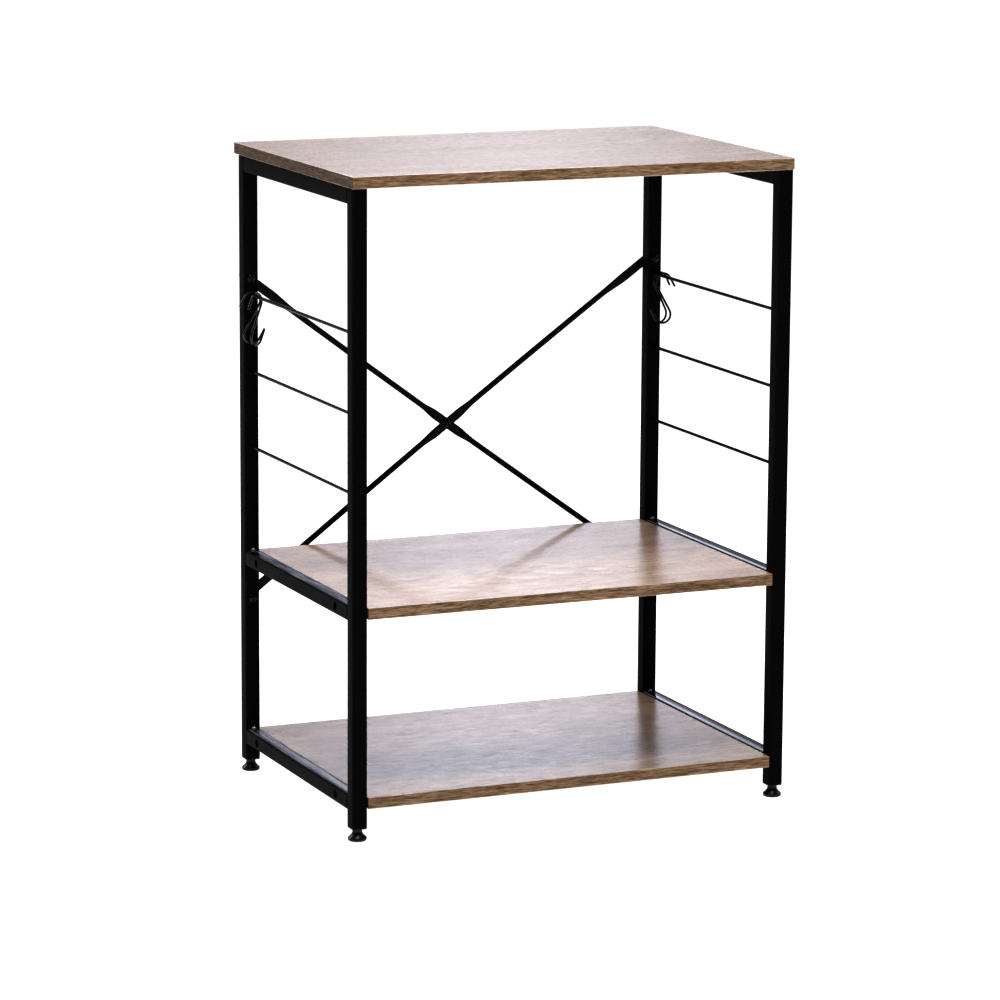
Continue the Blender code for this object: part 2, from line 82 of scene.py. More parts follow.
LEG_GAP_FRONT = FRONT_LEG_Y + HALF
LEG_GAP_REAR = REAR_LEG_Y - HALF
RAIL_LEN = LEG_GAP_REAR - LEG_GAP_FRONT - 2 * GAP
RAIL_Y = (LEG_GAP_REAR + LEG_GAP_FRONT) / 2
RAIL_Z = {"top": LEG_TOP - HALF, "middle": MID_TOP + RAIL_LIP - HALF,
          "bottom": LOW_TOP + RAIL_LIP - HALF}
SCREW_Y = {"front": FRONT_LEG_Y - HALF + 60 * MM, "rear": REAR_LEG_Y + HALF - 60 * MM}
REAR_FACE = REAR_LEG_Y + HALF
SIDES = (("left", -1), ("right", 1))


# ================================================================= materials
class Nodes:
    """Short way to write a node tree."""

    def __init__(self, name):
        self.mat = bpy.data.materials.new(name)
        self.mat.use_nodes = True
        self.tree = self.mat.node_tree
        self.bsdf = self.tree.nodes["Principled BSDF"]
        self._coord = None

    def add(self, kind, **props):
        node = self.tree.nodes.new(kind)
        for key, value in props.items():
            setattr(node, key, value)
        return node

    def link(self, a, b):
        self.tree.links.new(a, b)

    def coord(self):
        if self._coord is None:
            self._coord = self.add("ShaderNodeTexCoord").outputs["Object"]
        return self._coord

    def mapped(self, scale, offset=(0, 0, 0), source=None):
        node = self.add("ShaderNodeMapping")
        node.inputs["Scale"].default_value = scale
        node.inputs["Location"].default_value = offset
        self.link(source or self.coord(), node.inputs["Vector"])
        return node.outputs["Vector"]

    def noise(self, scale, detail=3.0, rough=0.55, offset=(0, 0, 0), distortion=0.0, source=None):
        node = self.add("ShaderNodeTexNoise")
        node.inputs["Scale"].default_value = 1.0
        node.inputs["Detail"].default_value = detail
        node.inputs["Roughness"].default_value = rough
        node.inputs["Distortion"].default_value = distortion
        self.link(self.mapped(scale, offset, source), node.inputs["Vector"])
        return node.outputs["Fac"]

    def math(self, op, a, b=None, c=None, clamp=False):
        node = self.add("ShaderNodeMath", operation=op, use_clamp=clamp)
        for i, v in enumerate((a, b, c)):
            if v is None:
                continue
            if isinstance(v, (int, float)):
                node.inputs[i].default_value = v
            else:
                self.link(v, node.inputs[i])
        return node.outputs[0]

    def ramp(self, fac, stops, smooth=True):
        node = self.add("ShaderNodeValToRGB")
        node.color_ramp.interpolation = 'EASE' if smooth else 'LINEAR'
        els = node.color_ramp.elements
        while len(els) < len(stops):
            els.new(0.5)
        for el, (pos, col) in zip(els, stops):
            el.position = pos
            el.color = (*col, 1) if len(col) == 3 else col
        self.link(fac, node.inputs["Fac"])
        return node.outputs["Color"]

    def grey(self, fac, stops):
        return self.ramp(fac, [(p, (v, v, v)) for p, v in stops])

    def mix(self, fac, a, b, blend='MIX'):
        node = self.add("ShaderNodeMix", data_type='RGBA', blend_type=blend)
        for socket, v in ((node.inputs[0], fac), (node.inputs[6], a), (node.inputs[7], b)):
            if isinstance(v, (int, float)):
                socket.default_value = v
            elif isinstance(v, tuple):
                socket.default_value = (*v, 1) if len(v) == 3 else v
            else:
                self.link(v, socket)
        return node.outputs[2]

    def bump(self, height, strength, distance, normal=None):
        node = self.add("ShaderNodeBump")
        node.inputs["Strength"].default_value = strength
        node.inputs["Distance"].default_value = distance
        self.link(height, node.inputs["Height"])
        if normal is not None:
            self.link(normal, node.inputs["Normal"])
        return node.outputs["Normal"]

    def set(self, name, value):
        self.bsdf.inputs[name].default_value = value

    def to(self, name, socket):
        self.link(socket, self.bsdf.inputs[name])


def stretched(axis, along, across):
    """Scale triple with the low frequency along one axis."""
    scale = [across, across, across]
    scale[axis] = along
    return tuple(scale)


def paint(name, axis, base=(0.0030, 0.0030, 0.0033), rough=0.36, spec=0.0070, half=None,
          wear=0.5, seed=0.0):
    """Black powder coat on steel. axis is the direction of the tube, in the
    piece's own space. half is the half size across it, for edge wear."""
    n = Nodes(name)
    off = (seed * 3.7, seed * 1.9, seed * 5.3)
    streak = n.noise(stretched(axis, 6, 420), 4, 0.6, off)
    blotch = n.noise((38, 38, 38), 4, 0.6, off)
    speck = n.noise((1500, 1500, 1500), 2, 0.5, off)
    peel = n.noise((520, 520, 520), 2, 0.5, off)
    light = tuple(min(1, 2.4 * v + 0.002) for v in base)
    tone = n.mix(n.math('MULTIPLY', streak, blotch), base, light)
    if half is not None:
        xyz = n.add("ShaderNodeSeparateXYZ")
        n.link(n.coord(), xyz.inputs[0])
        a, b = [xyz.outputs[i] for i in range(3) if i != axis]
        near = n.math('MINIMUM', n.math('ABSOLUTE', a), n.math('ABSOLUTE', b))
        edge = n.math('MULTIPLY', n.math('SUBTRACT', near, half - 1.5 * MM), 1 / (1.2 * MM), clamp=True)
        chip = n.noise(stretched(axis, 55, 260), 5, 0.65, (off[0] + 9, off[1], off[2]))
        worn = n.grey(chip, [(0.50, 0.0), (0.66, 1.0)])
        mask = n.math('MULTIPLY', n.math('MULTIPLY', edge, worn), wear)
        tone = n.mix(mask, tone, (0.040, 0.036, 0.033))
    n.to("Base Color", tone)
    n.set("Metallic", 0.0)
    n.set("IOR", 1.5)
    n.set("Specular IOR Level", spec)
    lo, hi = rough - 0.07, rough + 0.12
    mixed = n.math('ADD', n.math('MULTIPLY', streak, 0.5), n.math('MULTIPLY', blotch, 0.5))
    n.to("Roughness", n.grey(mixed, [(0.30, lo), (0.70, hi)]))
    height = n.math('ADD', n.math('MULTIPLY', peel, 0.75), n.math('MULTIPLY', speck, 0.25))
    n.to("Normal", n.bump(height, 0.10, 0.00006))
    return n.mat


def gloss_black(name, base=(0.004, 0.004, 0.0045), rough=0.16, spec=0.35, seed=0.0):
    """Coated wire and moulded black pieces: a slightly uneven gloss."""
    n = Nodes(name)
    off = (seed * 2.1, seed * 4.3, seed)
    cloud = n.noise((180, 180, 180), 4, 0.6, off)
    fine = n.noise((2200, 2200, 2200), 2, 0.5, off)
    n.to("Base Color", n.mix(cloud, base, tuple(2.2 * v + 0.001 for v in base)))
    n.set("IOR", 1.5)
    n.set("Specular IOR Level", spec)
    n.to("Roughness", n.grey(cloud, [(0.30, rough - 0.05), (0.72, rough + 0.10)]))
    n.to("Normal", n.bump(fine, 0.08, 0.00004))
    return n.mat


def moulded(name, base=(0.0055, 0.0055, 0.006), rough=0.36, spec=0.3):
    """Black moulded plastic with a fine eroded skin."""
    n = Nodes(name)
    cloud = n.noise((120, 120, 120), 4, 0.6)
    skin = n.add("ShaderNodeTexVoronoi")
    skin.inputs["Scale"].default_value = 1.0
    n.link(n.mapped((2600, 2600, 2600)), skin.inputs["Vector"])
    n.to("Base Color", n.mix(cloud, base, tuple(2.2 * v + 0.0006 for v in base)))
    n.set("IOR", 1.5)
    n.set("Specular IOR Level", spec)
    n.to("Roughness", n.grey(cloud, [(0.3, rough - 0.06), (0.7, rough + 0.10)]))
    n.to("Normal", n.bump(skin.outputs["Distance"], 0.12, 0.00003))
    return n.mat


def metal(name, base=(0.62, 0.62, 0.64), rough=0.32, seed=0.0):
    """Zinc-plated or bare metal with fine turning marks."""
    n = Nodes(name)
    off = (seed, seed * 2, seed * 3)
    cloud = n.noise((300, 300, 300), 4, 0.6, off)
    lines = n.noise((180, 180, 2600), 3, 0.6, off)
    n.to("Base Color", n.mix(cloud, tuple(0.72 * v for v in base), base))
    n.set("Metallic", 1.0)
    n.to("Roughness", n.grey(cloud, [(0.3, rough - 0.08), (0.7, rough + 0.12)]))
    n.to("Normal", n.bump(lines, 0.10, 0.00005))
    return n.mat


def rail_gloss(name, seed):
    """The same coat where it is thick and glossy on a rail's rounded corner."""
    n = Nodes(name)
    off = (seed, seed * 2.7, seed * 1.3)
    patch = n.noise((60, 14, 60), 4, 0.65, off)
    fine = n.noise((900, 260, 900), 3, 0.6, off)
    n.to("Base Color", n.mix(patch, (0.010, 0.010, 0.013), (0.030, 0.031, 0.036)))
    n.set("IOR", 2.6)
    n.set("Specular IOR Level", 0.5)
    n.set("Coat Weight", 1.0)
    n.set("Coat Roughness", 0.10)
    n.set("Coat IOR", 2.0)
    n.to("Roughness", n.grey(patch, [(0.36, 0.10), (0.66, 0.32)]))
    n.to("Normal", n.bump(fine, 0.10, 0.00005))
    return n.mat


def rail_top(name, seed, spec, sheen_tone):
    """The coat on a rail's top face: a little smoother, with streaks of painted bluish sheen, a painted reflection."""
    n = Nodes(name)
    off = (seed * 1.9, seed * 0.6, seed)
    streak = n.noise((520, 16, 520), 4, 0.62, off)
    patch = n.noise((80, 11, 80), 4, 0.6, (off[0] + 3, off[1], 0))
    # painted reflection: a light bluish tone in streaks stands for the sheen on the top face
    sheen_streaks = n.grey(n.math('MULTIPLY', streak, patch), [(0.22, 0.0), (0.32, 1.0)])
    n.to("Base Color", n.mix(sheen_streaks, (0.003, 0.003, 0.004), (0.78 * sheen_tone, 0.82 * sheen_tone, sheen_tone)))
    n.set("IOR", 1.5)
    n.set("Specular IOR Level", spec)
    n.set("Specular Tint", (0.80, 0.86, 1.0, 1.0))
    n.to("Roughness", n.grey(streak, [(0.36, 0.07), (0.64, 0.17)]))
    n.to("Normal", n.bump(streak, 0.10, 0.00005))
    return n.mat


def brace_coat(name, seed):
    """Black coat on the brace tube, with long faint draw marks."""
    n = Nodes(name)
    off = (seed * 2.3, seed, seed * 1.1)
    cloud = n.noise((60, 60, 60), 4, 0.6, off)
    peel = n.noise((640, 640, 640), 3, 0.55, off)
    n.to("Base Color", n.mix(cloud, (0.0016, 0.0016, 0.0019), (0.0050, 0.0050, 0.0058)))
    n.set("IOR", 1.5)
    n.set("Specular IOR Level", 0.07)
    n.to("Roughness", n.grey(cloud, [(0.32, 0.09), (0.70, 0.20)]))
    n.to("Normal", n.bump(peel, 0.08, 0.00005))
    return n.mat


def wood_face(name, seed, arch=(0.19, -0.06), dark=(0.150, 0.078, 0.042), mid=(0.420, 0.262, 0.165),
              light=(0.700, 0.500, 0.360), rough=0.28, gloss=0.5):
    """Printed oak facing: mottled straight grain along X, with one arched
    figure round the point arch. The print is embossed, so its dark pores
    reflect less."""
    n = Nodes(name)
    off = (seed * 1.37, seed * 0.71, 0.0)
    xyz = n.add("ShaderNodeSeparateXYZ")
    n.link(n.coord(), xyz.inputs[0])
    x, y0 = xyz.outputs[0], xyz.outputs[1]
    # slow wander of the grain lines
    wander = n.noise((2.4, 6.0, 1.0), 3, 0.5, off)
    small = n.noise((9.0, 22.0, 1.0), 3, 0.5, (off[0] + 3, off[1], 0))
    y = n.math('ADD', y0, n.math('ADD', n.math('MULTIPLY', n.math('SUBTRACT', wander, 0.5), 0.036),
                                 n.math('MULTIPLY', n.math('SUBTRACT', small, 0.5), 0.006)))
    warped = n.add("ShaderNodeCombineXYZ")
    n.link(x, warped.inputs[0])
    n.link(y, warped.inputs[1])
    src = warped.outputs[0]
    broad = n.noise((3.4, 24.0, 1.0), 3, 0.55, off, source=src)
    mottle = n.noise((26.0, 90.0, 1.0), 4, 0.62, (off[0] + 5, off[1], 0), source=src)
    lines = n.noise((30.0, 330.0, 1.0), 4, 0.62, (off[0] + 8, off[1], 0), source=src)
    fibre = n.noise((85.0, 820.0, 1.0), 3, 0.60, off, source=src)
    # arched figure: uneven rings, long in X, fading away from their centre
    ax = n.math('MULTIPLY', n.math('SUBTRACT', x, arch[0]), 0.16)
    ay = n.math('SUBTRACT', y, arch[1])
    far = n.math('SQRT', n.math('ADD', n.math('MULTIPLY', ax, ax), n.math('MULTIPLY', ay, ay)))
    bent = n.math('ADD', far, n.math('MULTIPLY', n.math('SUBTRACT', broad, 0.5), 0.020))
    rings = n.math('FRACT', n.math('MULTIPLY', n.math('POWER', bent, 0.82), 62.0))
    fade = n.grey(far, [(0.030, 1.0), (0.085, 0.0)])
    figure = n.math('MULTIPLY', n.math('SUBTRACT', rings, 0.5), fade)
    total = n.math('ADD', n.math('MULTIPLY', broad, 0.24),
                   n.math('ADD', n.math('MULTIPLY', mottle, 0.24),
                          n.math('ADD', n.math('MULTIPLY', lines, 0.28),
                                 n.math('MULTIPLY', fibre, 0.24))))
    total = n.math('ADD', total, n.math('MULTIPLY', figure, 0.12))
    colour = n.ramp(total, [(0.375, dark), (0.495, mid), (0.625, light)], smooth=False)
    # pores: short dark dashes, denser in the dark bands
    pore = n.noise((85.0, 1500.0, 1.0), 2, 0.5, (off[0] + 4, off[1], 0), source=src)
    pore_mask = n.grey(n.math('ADD', pore, n.math('MULTIPLY', n.math('SUBTRACT', 0.5, mottle), 0.5)),
                       [(0.58, 0.0), (0.70, 0.45)])
    colour = n.mix(pore_mask, colour, tuple(0.50 * v for v in dark))
    # faint cross marks left by the saw in the printed pattern
    saw = n.noise((620.0, 9.0, 1.0), 2, 0.5, off)
    colour = n.mix(n.grey(saw, [(0.52, 0.0), (0.72, 0.16)]), colour, light)
    n.to("Base Color", colour)
    n.set("IOR", 1.5)
    n.set("Specular IOR Level", gloss)
    emboss = n.math('ADD', n.math('MULTIPLY', mottle, 0.12),
                    n.math('ADD', n.math('MULTIPLY', lines, 0.38), n.math('MULTIPLY', fibre, 0.50)))
    n.to("Roughness", n.grey(emboss, [(0.38, rough + 0.08), (0.47, rough + 0.01), (0.60, rough - 0.03)]))
    n.to("Normal", n.bump(emboss, 0.16, 0.00010))
    return n.mat


def eased_edge_highlight(name, seed):
    """The thin eased line between face and edge: glossy, so it catches light, and light in colour, a painted highlight
    along the edge.
    """
    n = Nodes(name)
    tone = n.noise((40, 40, 900), 3, 0.55, (seed, seed, 0))
    # painted highlight: a colour far lighter than the edge band
    n.to("Base Color", n.ramp(tone, [(0.36, (0.55, 0.40, 0.30)), (0.62, (0.90, 0.74, 0.62))]))
    n.set("IOR", 1.5)
    n.set("Specular IOR Level", 0.6)
    n.to("Roughness", n.grey(tone, [(0.35, 0.26), (0.65, 0.15)]))
    return n.mat


def dark_underside(name, seed):
    """Dull dark brown underside: painted shade, darker than the print, so that it sends less light down onto the board
    below.
    """
    n = Nodes(name)
    off = (seed * 1.1, seed * 0.4, 0.0)
    mottle = n.noise((14.0, 60.0, 1.0), 4, 0.62, off)
    fibre = n.noise((60.0, 700.0, 1.0), 3, 0.60, off)
    total = n.math('ADD', n.math('MULTIPLY', mottle, 0.6), n.math('MULTIPLY', fibre, 0.4))
    # painted shade: dark browns that cut the light bounced onto the board below
    n.to("Base Color", n.ramp(total, [(0.38, (0.060, 0.034, 0.020)), (0.50, (0.130, 0.082, 0.052)),
                                      (0.62, (0.210, 0.140, 0.094))]))
    n.set("IOR", 1.5)
    n.set("Specular IOR Level", 0.3)
    n.to("Roughness", n.grey(fibre, [(0.35, 0.62), (0.65, 0.48)]))
    n.to("Normal", n.bump(fibre, 0.15, 0.00010))
    return n.mat


def edge_band(name, axis, seed, shade_gain=1.0, spec=0.15):
    """Edge band: short dark dashes and streaks that run along the edge."""
    n = Nodes(name)
    off = (seed * 1.7, seed * 0.9, seed * 0.3)
    lines = n.noise(stretched(axis, 60.0, 900), 4, 0.65, off)
    broad = n.noise(stretched(axis, 12.0, 260), 3, 0.55, off)
    fibre = n.noise(stretched(axis, 120, 1900), 2, 0.55, off)
    total = n.math('ADD', n.math('MULTIPLY', lines, 0.52),
                   n.math('ADD', n.math('MULTIPLY', broad, 0.22), n.math('MULTIPLY', fibre, 0.26)))
    # a shade_gain under 1 darkens the whole band: painted shade
    g = shade_gain
    n.to("Base Color", n.ramp(total, [(0.38, (0.050 * g, 0.025 * g, 0.012 * g)),
                                      (0.49, (0.235 * g, 0.138 * g, 0.074 * g)),
                                      (0.62, (0.560 * g, 0.385 * g, 0.240 * g))], smooth=False))
    n.set("IOR", 1.5)
    n.set("Specular IOR Level", spec)
    n.to("Roughness", n.grey(lines, [(0.3, 0.46), (0.7, 0.34)]))
    n.to("Normal", n.bump(lines, 0.14, 0.00010))
    return n.mat


# ================================================================== geometry
def mesh_from(bm, name, angle=32.0):
    bm.normal_update()
    if bm.calc_volume(signed=True) < 0:
        bmesh.ops.reverse_faces(bm, faces=bm.faces)
    mesh = bpy.data.meshes.new(name)
    bm.to_mesh(mesh)
    bm.free()
    mesh.shade_smooth()
    mesh.set_sharp_from_angle(angle=math.radians(angle))
    return mesh


def piece(name, mesh, mats, location=(0, 0, 0), rotation=(0, 0, 0), body=ROOT,
          stands_for=(), weighted=False):
    obj = bpy.data.objects.new(name, mesh)
    bpy.context.scene.collection.objects.link(obj)
    if not mesh.materials:
        for mat in (mats if isinstance(mats, (list, tuple)) else [mats]):
            mesh.materials.append(mat)
    obj.location = location
    obj.rotation_euler = rotation
    if weighted:
        mod = obj.modifiers.new("weighted_normals", 'WEIGHTED_NORMAL')
        mod.keep_sharp = True
        mod.weight = 50
    bpy.context.view_layer.update()
    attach(obj, body)
    if stands_for:
        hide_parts(*stands_for)
    return obj


def rounded_square(half, radius, crown, per_side=6, per_corner=6):
    """Closed outline: four slightly crowned sides and round corners."""
    pts = []
    flat = half - radius
    for q in range(4):
        turn = math.radians(90 * q)
        c, s = math.cos(turn), math.sin(turn)
        side = []
        for k in range(per_side + 1):
            t = -1 + 2 * k / per_side
            side.append((half - crown * t * t, flat * t))
        edge_x = half - crown
        lean = math.atan2(2 * crown, flat)
        for k in range(1, per_corner):
            a = lean + (math.pi / 2 - 2 * lean) * k / per_corner
            cx, cy = edge_x - radius * math.cos(lean), flat - radius * math.sin(lean)
            side.append((cx + radius * math.cos(a), cy + radius * math.sin(a)))
        pts += [(x * c - y * s, x * s + y * c) for x, y in side]
    return pts


def boolean_mesh(mesh, cuts, operation='DIFFERENCE'):
    """Apply round or other cutters, given as meshes, and return the result."""
    obj = bpy.data.objects.new("work", mesh)
    bpy.context.scene.collection.objects.link(obj)
    tools = []
    for cut in cuts:
        tool = bpy.data.objects.new("tool", cut)
        bpy.context.scene.collection.objects.link(tool)
        tools.append(tool)
        mod = obj.modifiers.new("cut", 'BOOLEAN')
        mod.operation = operation
        mod.solver = 'EXACT'
        mod.object = tool
    bpy.context.view_layer.update()
    dg = bpy.context.evaluated_depsgraph_get()
    out = bpy.data.meshes.new_from_object(obj.evaluated_get(dg))
    out.name = mesh.name
    for o in [obj] + tools:
        bpy.data.objects.remove(o, do_unlink=True)
    return out


def drill_tool(radius, start, end, segments=36):
    start, end = Vector(start), Vector(end)
    bm = bmesh.new()
    made = bmesh.ops.create_cone(bm, cap_ends=True, segments=segments, radius1=radius,
                                 radius2=radius, depth=(end - start).length)
    turn = Vector((0, 0, 1)).rotation_difference((end - start).normalized()) @ \
        Quaternion((0, 0, 1), math.radians(3.1))
    for v in made["verts"]:
        v.co = turn @ v.co + (start + end) / 2
    mesh = bpy.data.meshes.new("drill")
    bm.to_mesh(mesh)
    bm.free()
    return mesh


def tube_mesh(name, length, axis, holes=(), crown_top=0.0):
    radius, crown = 2.3 * MM, 0.16 * MM
    outer = rounded_square(HALF, radius, crown, 12 if crown_top else 6)
    if crown_top:
        # one side, the first direction of the outline, falls away to both corners
        flat = HALF - radius
        shaped = []
        for u, v in outer:
            if u > flat:
                drop = (v / flat) ** 6 if abs(v) < flat else min(1.0, (u - flat) / (radius - crown))
                u -= crown_top * drop
            shaped.append((u, v))
        outer = shaped
    inner = rounded_square(HALF - WALL, 1.0 * MM, 0.08 * MM, 12 if crown_top else 6)
    order = {0: (1, 2, 0), 1: (2, 0, 1), 2: (0, 1, 2)}[axis]

    def at(u, v, w):
        co = [0, 0, 0]
        co[order[0]], co[order[1]], co[order[2]] = u, v, w
        return Vector(co)

    bm = bmesh.new()
    lip = 0.25 * MM
    rings = []
    # outside, with a tiny break at both cut ends, then back along the inside
    h = length / 2
    for shrink, w, outline in ((lip, -h, outer), (0, -h + lip, outer), (0, h - lip, outer),
                               (lip, h, outer), (0, h, inner), (0, -h, inner)):
        k = 1 - shrink / HALF
        rings.append([bm.verts.new(at(u * k, v * k, w)) for u, v in outline])
    count = len(outer)
    for a, b in zip(rings, rings[1:] + rings[:1]):
        for i in range(count):
            j = (i + 1) % count
            bm.faces.new((a[i], a[j], b[j], b[i]))
    if bm.calc_volume(signed=True) < 0:
        bmesh.ops.reverse_faces(bm, faces=bm.faces)
    mesh = bpy.data.meshes.new(name)
    bm.to_mesh(mesh)
    bm.free()
    if holes:
        mesh = boolean_mesh(mesh, [drill_tool(*hole) for hole in holes])
    mesh.shade_smooth()
    mesh.set_sharp_from_angle(angle=math.radians(40))
    return mesh


def board_mesh(name, size, edge=1.0 * MM):
    bm = bmesh.new()
    bmesh.ops.create_cube(bm, size=1.0)
    bmesh.ops.scale(bm, vec=Vector(size), verts=bm.verts)
    # sharp upright corners, eased top and bottom edges
    flat_edges = [e for e in bm.edges if abs(e.verts[0].co.z - e.verts[1].co.z) < 1e-6]
    bmesh.ops.bevel(bm, geom=flat_edges, offset=edge, segments=4, profile=0.5, affect='EDGES')
    upright = [e for e in bm.edges
               if abs(e.verts[0].co.z - e.verts[1].co.z) > size[2] * 0.6]
    bmesh.ops.bevel(bm, geom=upright, offset=0.35 * MM, segments=2, profile=0.5, affect='EDGES')
    bm.normal_update()
    for f in bm.faces:
        nx, ny, nz = (abs(c) for c in f.normal)
        if nz > 0.985:
            f.material_index = 0 if f.normal.z > 0 else 4
        # the eased faces take the light eased-edge colour, a painted highlight
        elif nz > 0.30:
            f.material_index = 3
        else:
            f.material_index = 2 if nx > ny else 1
    return mesh_from(bm, name, 50)


def lathe(name, profile, steps, mats_angle=35, ripple=None):
    """Turn (radius, height) points about Z. The first and last points are on the axis."""
    bm = bmesh.new()
    rings = []
    for r, z in profile:
        if r < 1e-9:
            rings.append([bm.verts.new((0, 0, z))])
            continue
        ring = []
        for k in range(steps):
            a = 2 * math.pi * k / steps
            rr = r * (1 + (ripple(a, z) if ripple else 0))
            ring.append(bm.verts.new((rr * math.cos(a), rr * math.sin(a), z)))
        rings.append(ring)
    for a, b in zip(rings[:-1], rings[1:]):
        for k in range(steps):
            j = (k + 1) % steps
            if len(a) == 1:
                bm.faces.new((a[0], b[k], b[j]))
            elif len(b) == 1:
                bm.faces.new((a[k], b[0], a[j]))
            else:
                bm.faces.new((a[k], b[k], b[j], a[j]))
    return mesh_from(bm, name, mats_angle)


def arc(cx, cz, r, a0, a1, n):
    """Points of a circular arc in the (radius, height) plane, in degrees."""
    return [(cx + r * math.cos(math.radians(a0 + (a1 - a0) * k / n)),
             cz + r * math.sin(math.radians(a0 + (a1 - a0) * k / n))) for k in range(n + 1)]


def threads(r, top, bottom, pitch, depth):
    """Profile points of a thread, shown as close rings, from the top down."""
    pts = []
    z = top
    while z - pitch > bottom:
        pts += [(r - depth, z), (r, z - 0.35 * pitch), (r, z - 0.60 * pitch)]
        z -= pitch
    pts.append((r - depth, z))
    return pts


# ==================================================================== boards
def board(name, size, location, seed, arch, tone=1.0, gloss=0.5):
    # tone scales every colour of the print: painted shade and light, set board by board by how the light falls on each
    shades = [tuple(tone * v for v in c) for c in ((0.150, 0.082, 0.046), (0.420, 0.275, 0.178),
                                                   (0.700, 0.518, 0.385))]
    mats = [wood_face("wood_face_" + name, seed, arch, *shades, gloss=gloss), edge_band("edge_front_" + name, 0, seed + 0.4),
            # the ends' band is darkened to 0.36 of the front's: painted shade
            edge_band("edge_side_" + name, 1, seed + 0.8, 0.36, 0.05),
            eased_edge_highlight("eased_edge_highlight_" + name, seed), dark_underside("dark_underside_" + name, seed)]
    piece(name + "_panel", board_mesh(name, size), mats, location,
          stands_for=(name,), weighted=True)


# tones 0.76, 1.08 and 0.86: painted shade on the top and bottom boards, painted light on the middle one
board("top_board", (TOP_W, TOP_D, BOARD_T), (0, 0, HEIGHT - BOARD_T / 2), 1.0, (-0.13, 0.05), 0.76, 0.46)
low_size = (2 * (FRAME_X - HALF - BOARD_END_GAP), LOW_REAR - LOW_FRONT, BOARD_T)
board("middle_board", low_size, (0, (LOW_REAR + LOW_FRONT) / 2, MID_TOP - BOARD_T / 2), 2.3, (0.21, -0.08), 1.08)
board("bottom_board", low_size, (0, (LOW_REAR + LOW_FRONT) / 2, LOW_TOP - BOARD_T / 2), 3.6, (0.16, -0.10), 0.86, 0.41)


# =============================================================== side frames
def bead(bm, centre, half_len, radius, axis, seed):
    """A short uneven weld bead: a closed capsule with a wavy skin."""
    axis = Vector(axis).normalized()
    side = axis.orthogonal().normalized()
    up = axis.cross(side)
    rings = []
    n_long, n_round = max(10, int(half_len / (0.5 * MM))), 14
    for i in range(n_long + 1):
        t = -1 + 2 * i / n_long
        s = t * (half_len + radius)
        d = abs(s) - half_len
        r = radius if d <= 0 else math.sqrt(max(0.0, radius * radius - d * d))
        wave = 1 + 0.10 * math.sin(seed + s / (0.55 * MM)) + 0.05 * math.sin(2.3 * seed + s / (0.21 * MM))
        if r < 1e-7:
            rings.append([bm.verts.new(centre + axis * s)])
            continue
        ring = []
        for k in range(n_round):
            a = 2 * math.pi * k / n_round
            rr = r * wave * (1 + 0.05 * math.sin(3 * a + seed))
            ring.append(bm.verts.new(centre + axis * s + (side * math.cos(a) + up * math.sin(a)) * rr))
        rings.append(ring)
    for a, b in zip(rings[:-1], rings[1:]):
        for k in range(n_round):
            j = (k + 1) % n_round
            if len(a) == 1:
                bm.faces.new((a[0], b[j], b[k]))
            elif len(b) == 1:
                bm.faces.new((a[k], a[j], b[0]))
            else:
                bm.faces.new((a[k], a[j], b[j], b[k]))


def mark_rail(mesh, corners, lowest):
    """Give a rail's top face and its rounded top corners their own finish.
    corners lists the X sides whose corner is glossy, down to a normal with
    lowest as its height."""
    for f in mesh.polygons:
        nx, ny, nz = f.normal
        if f.center.z < HALF - 2.4 * MM or abs(ny) > 0.5:
            continue
        if nz > 0.955:
            f.material_index = 2
        elif nz > lowest and any(nx * c > 0.05 for c in corners):
            f.material_index = 1


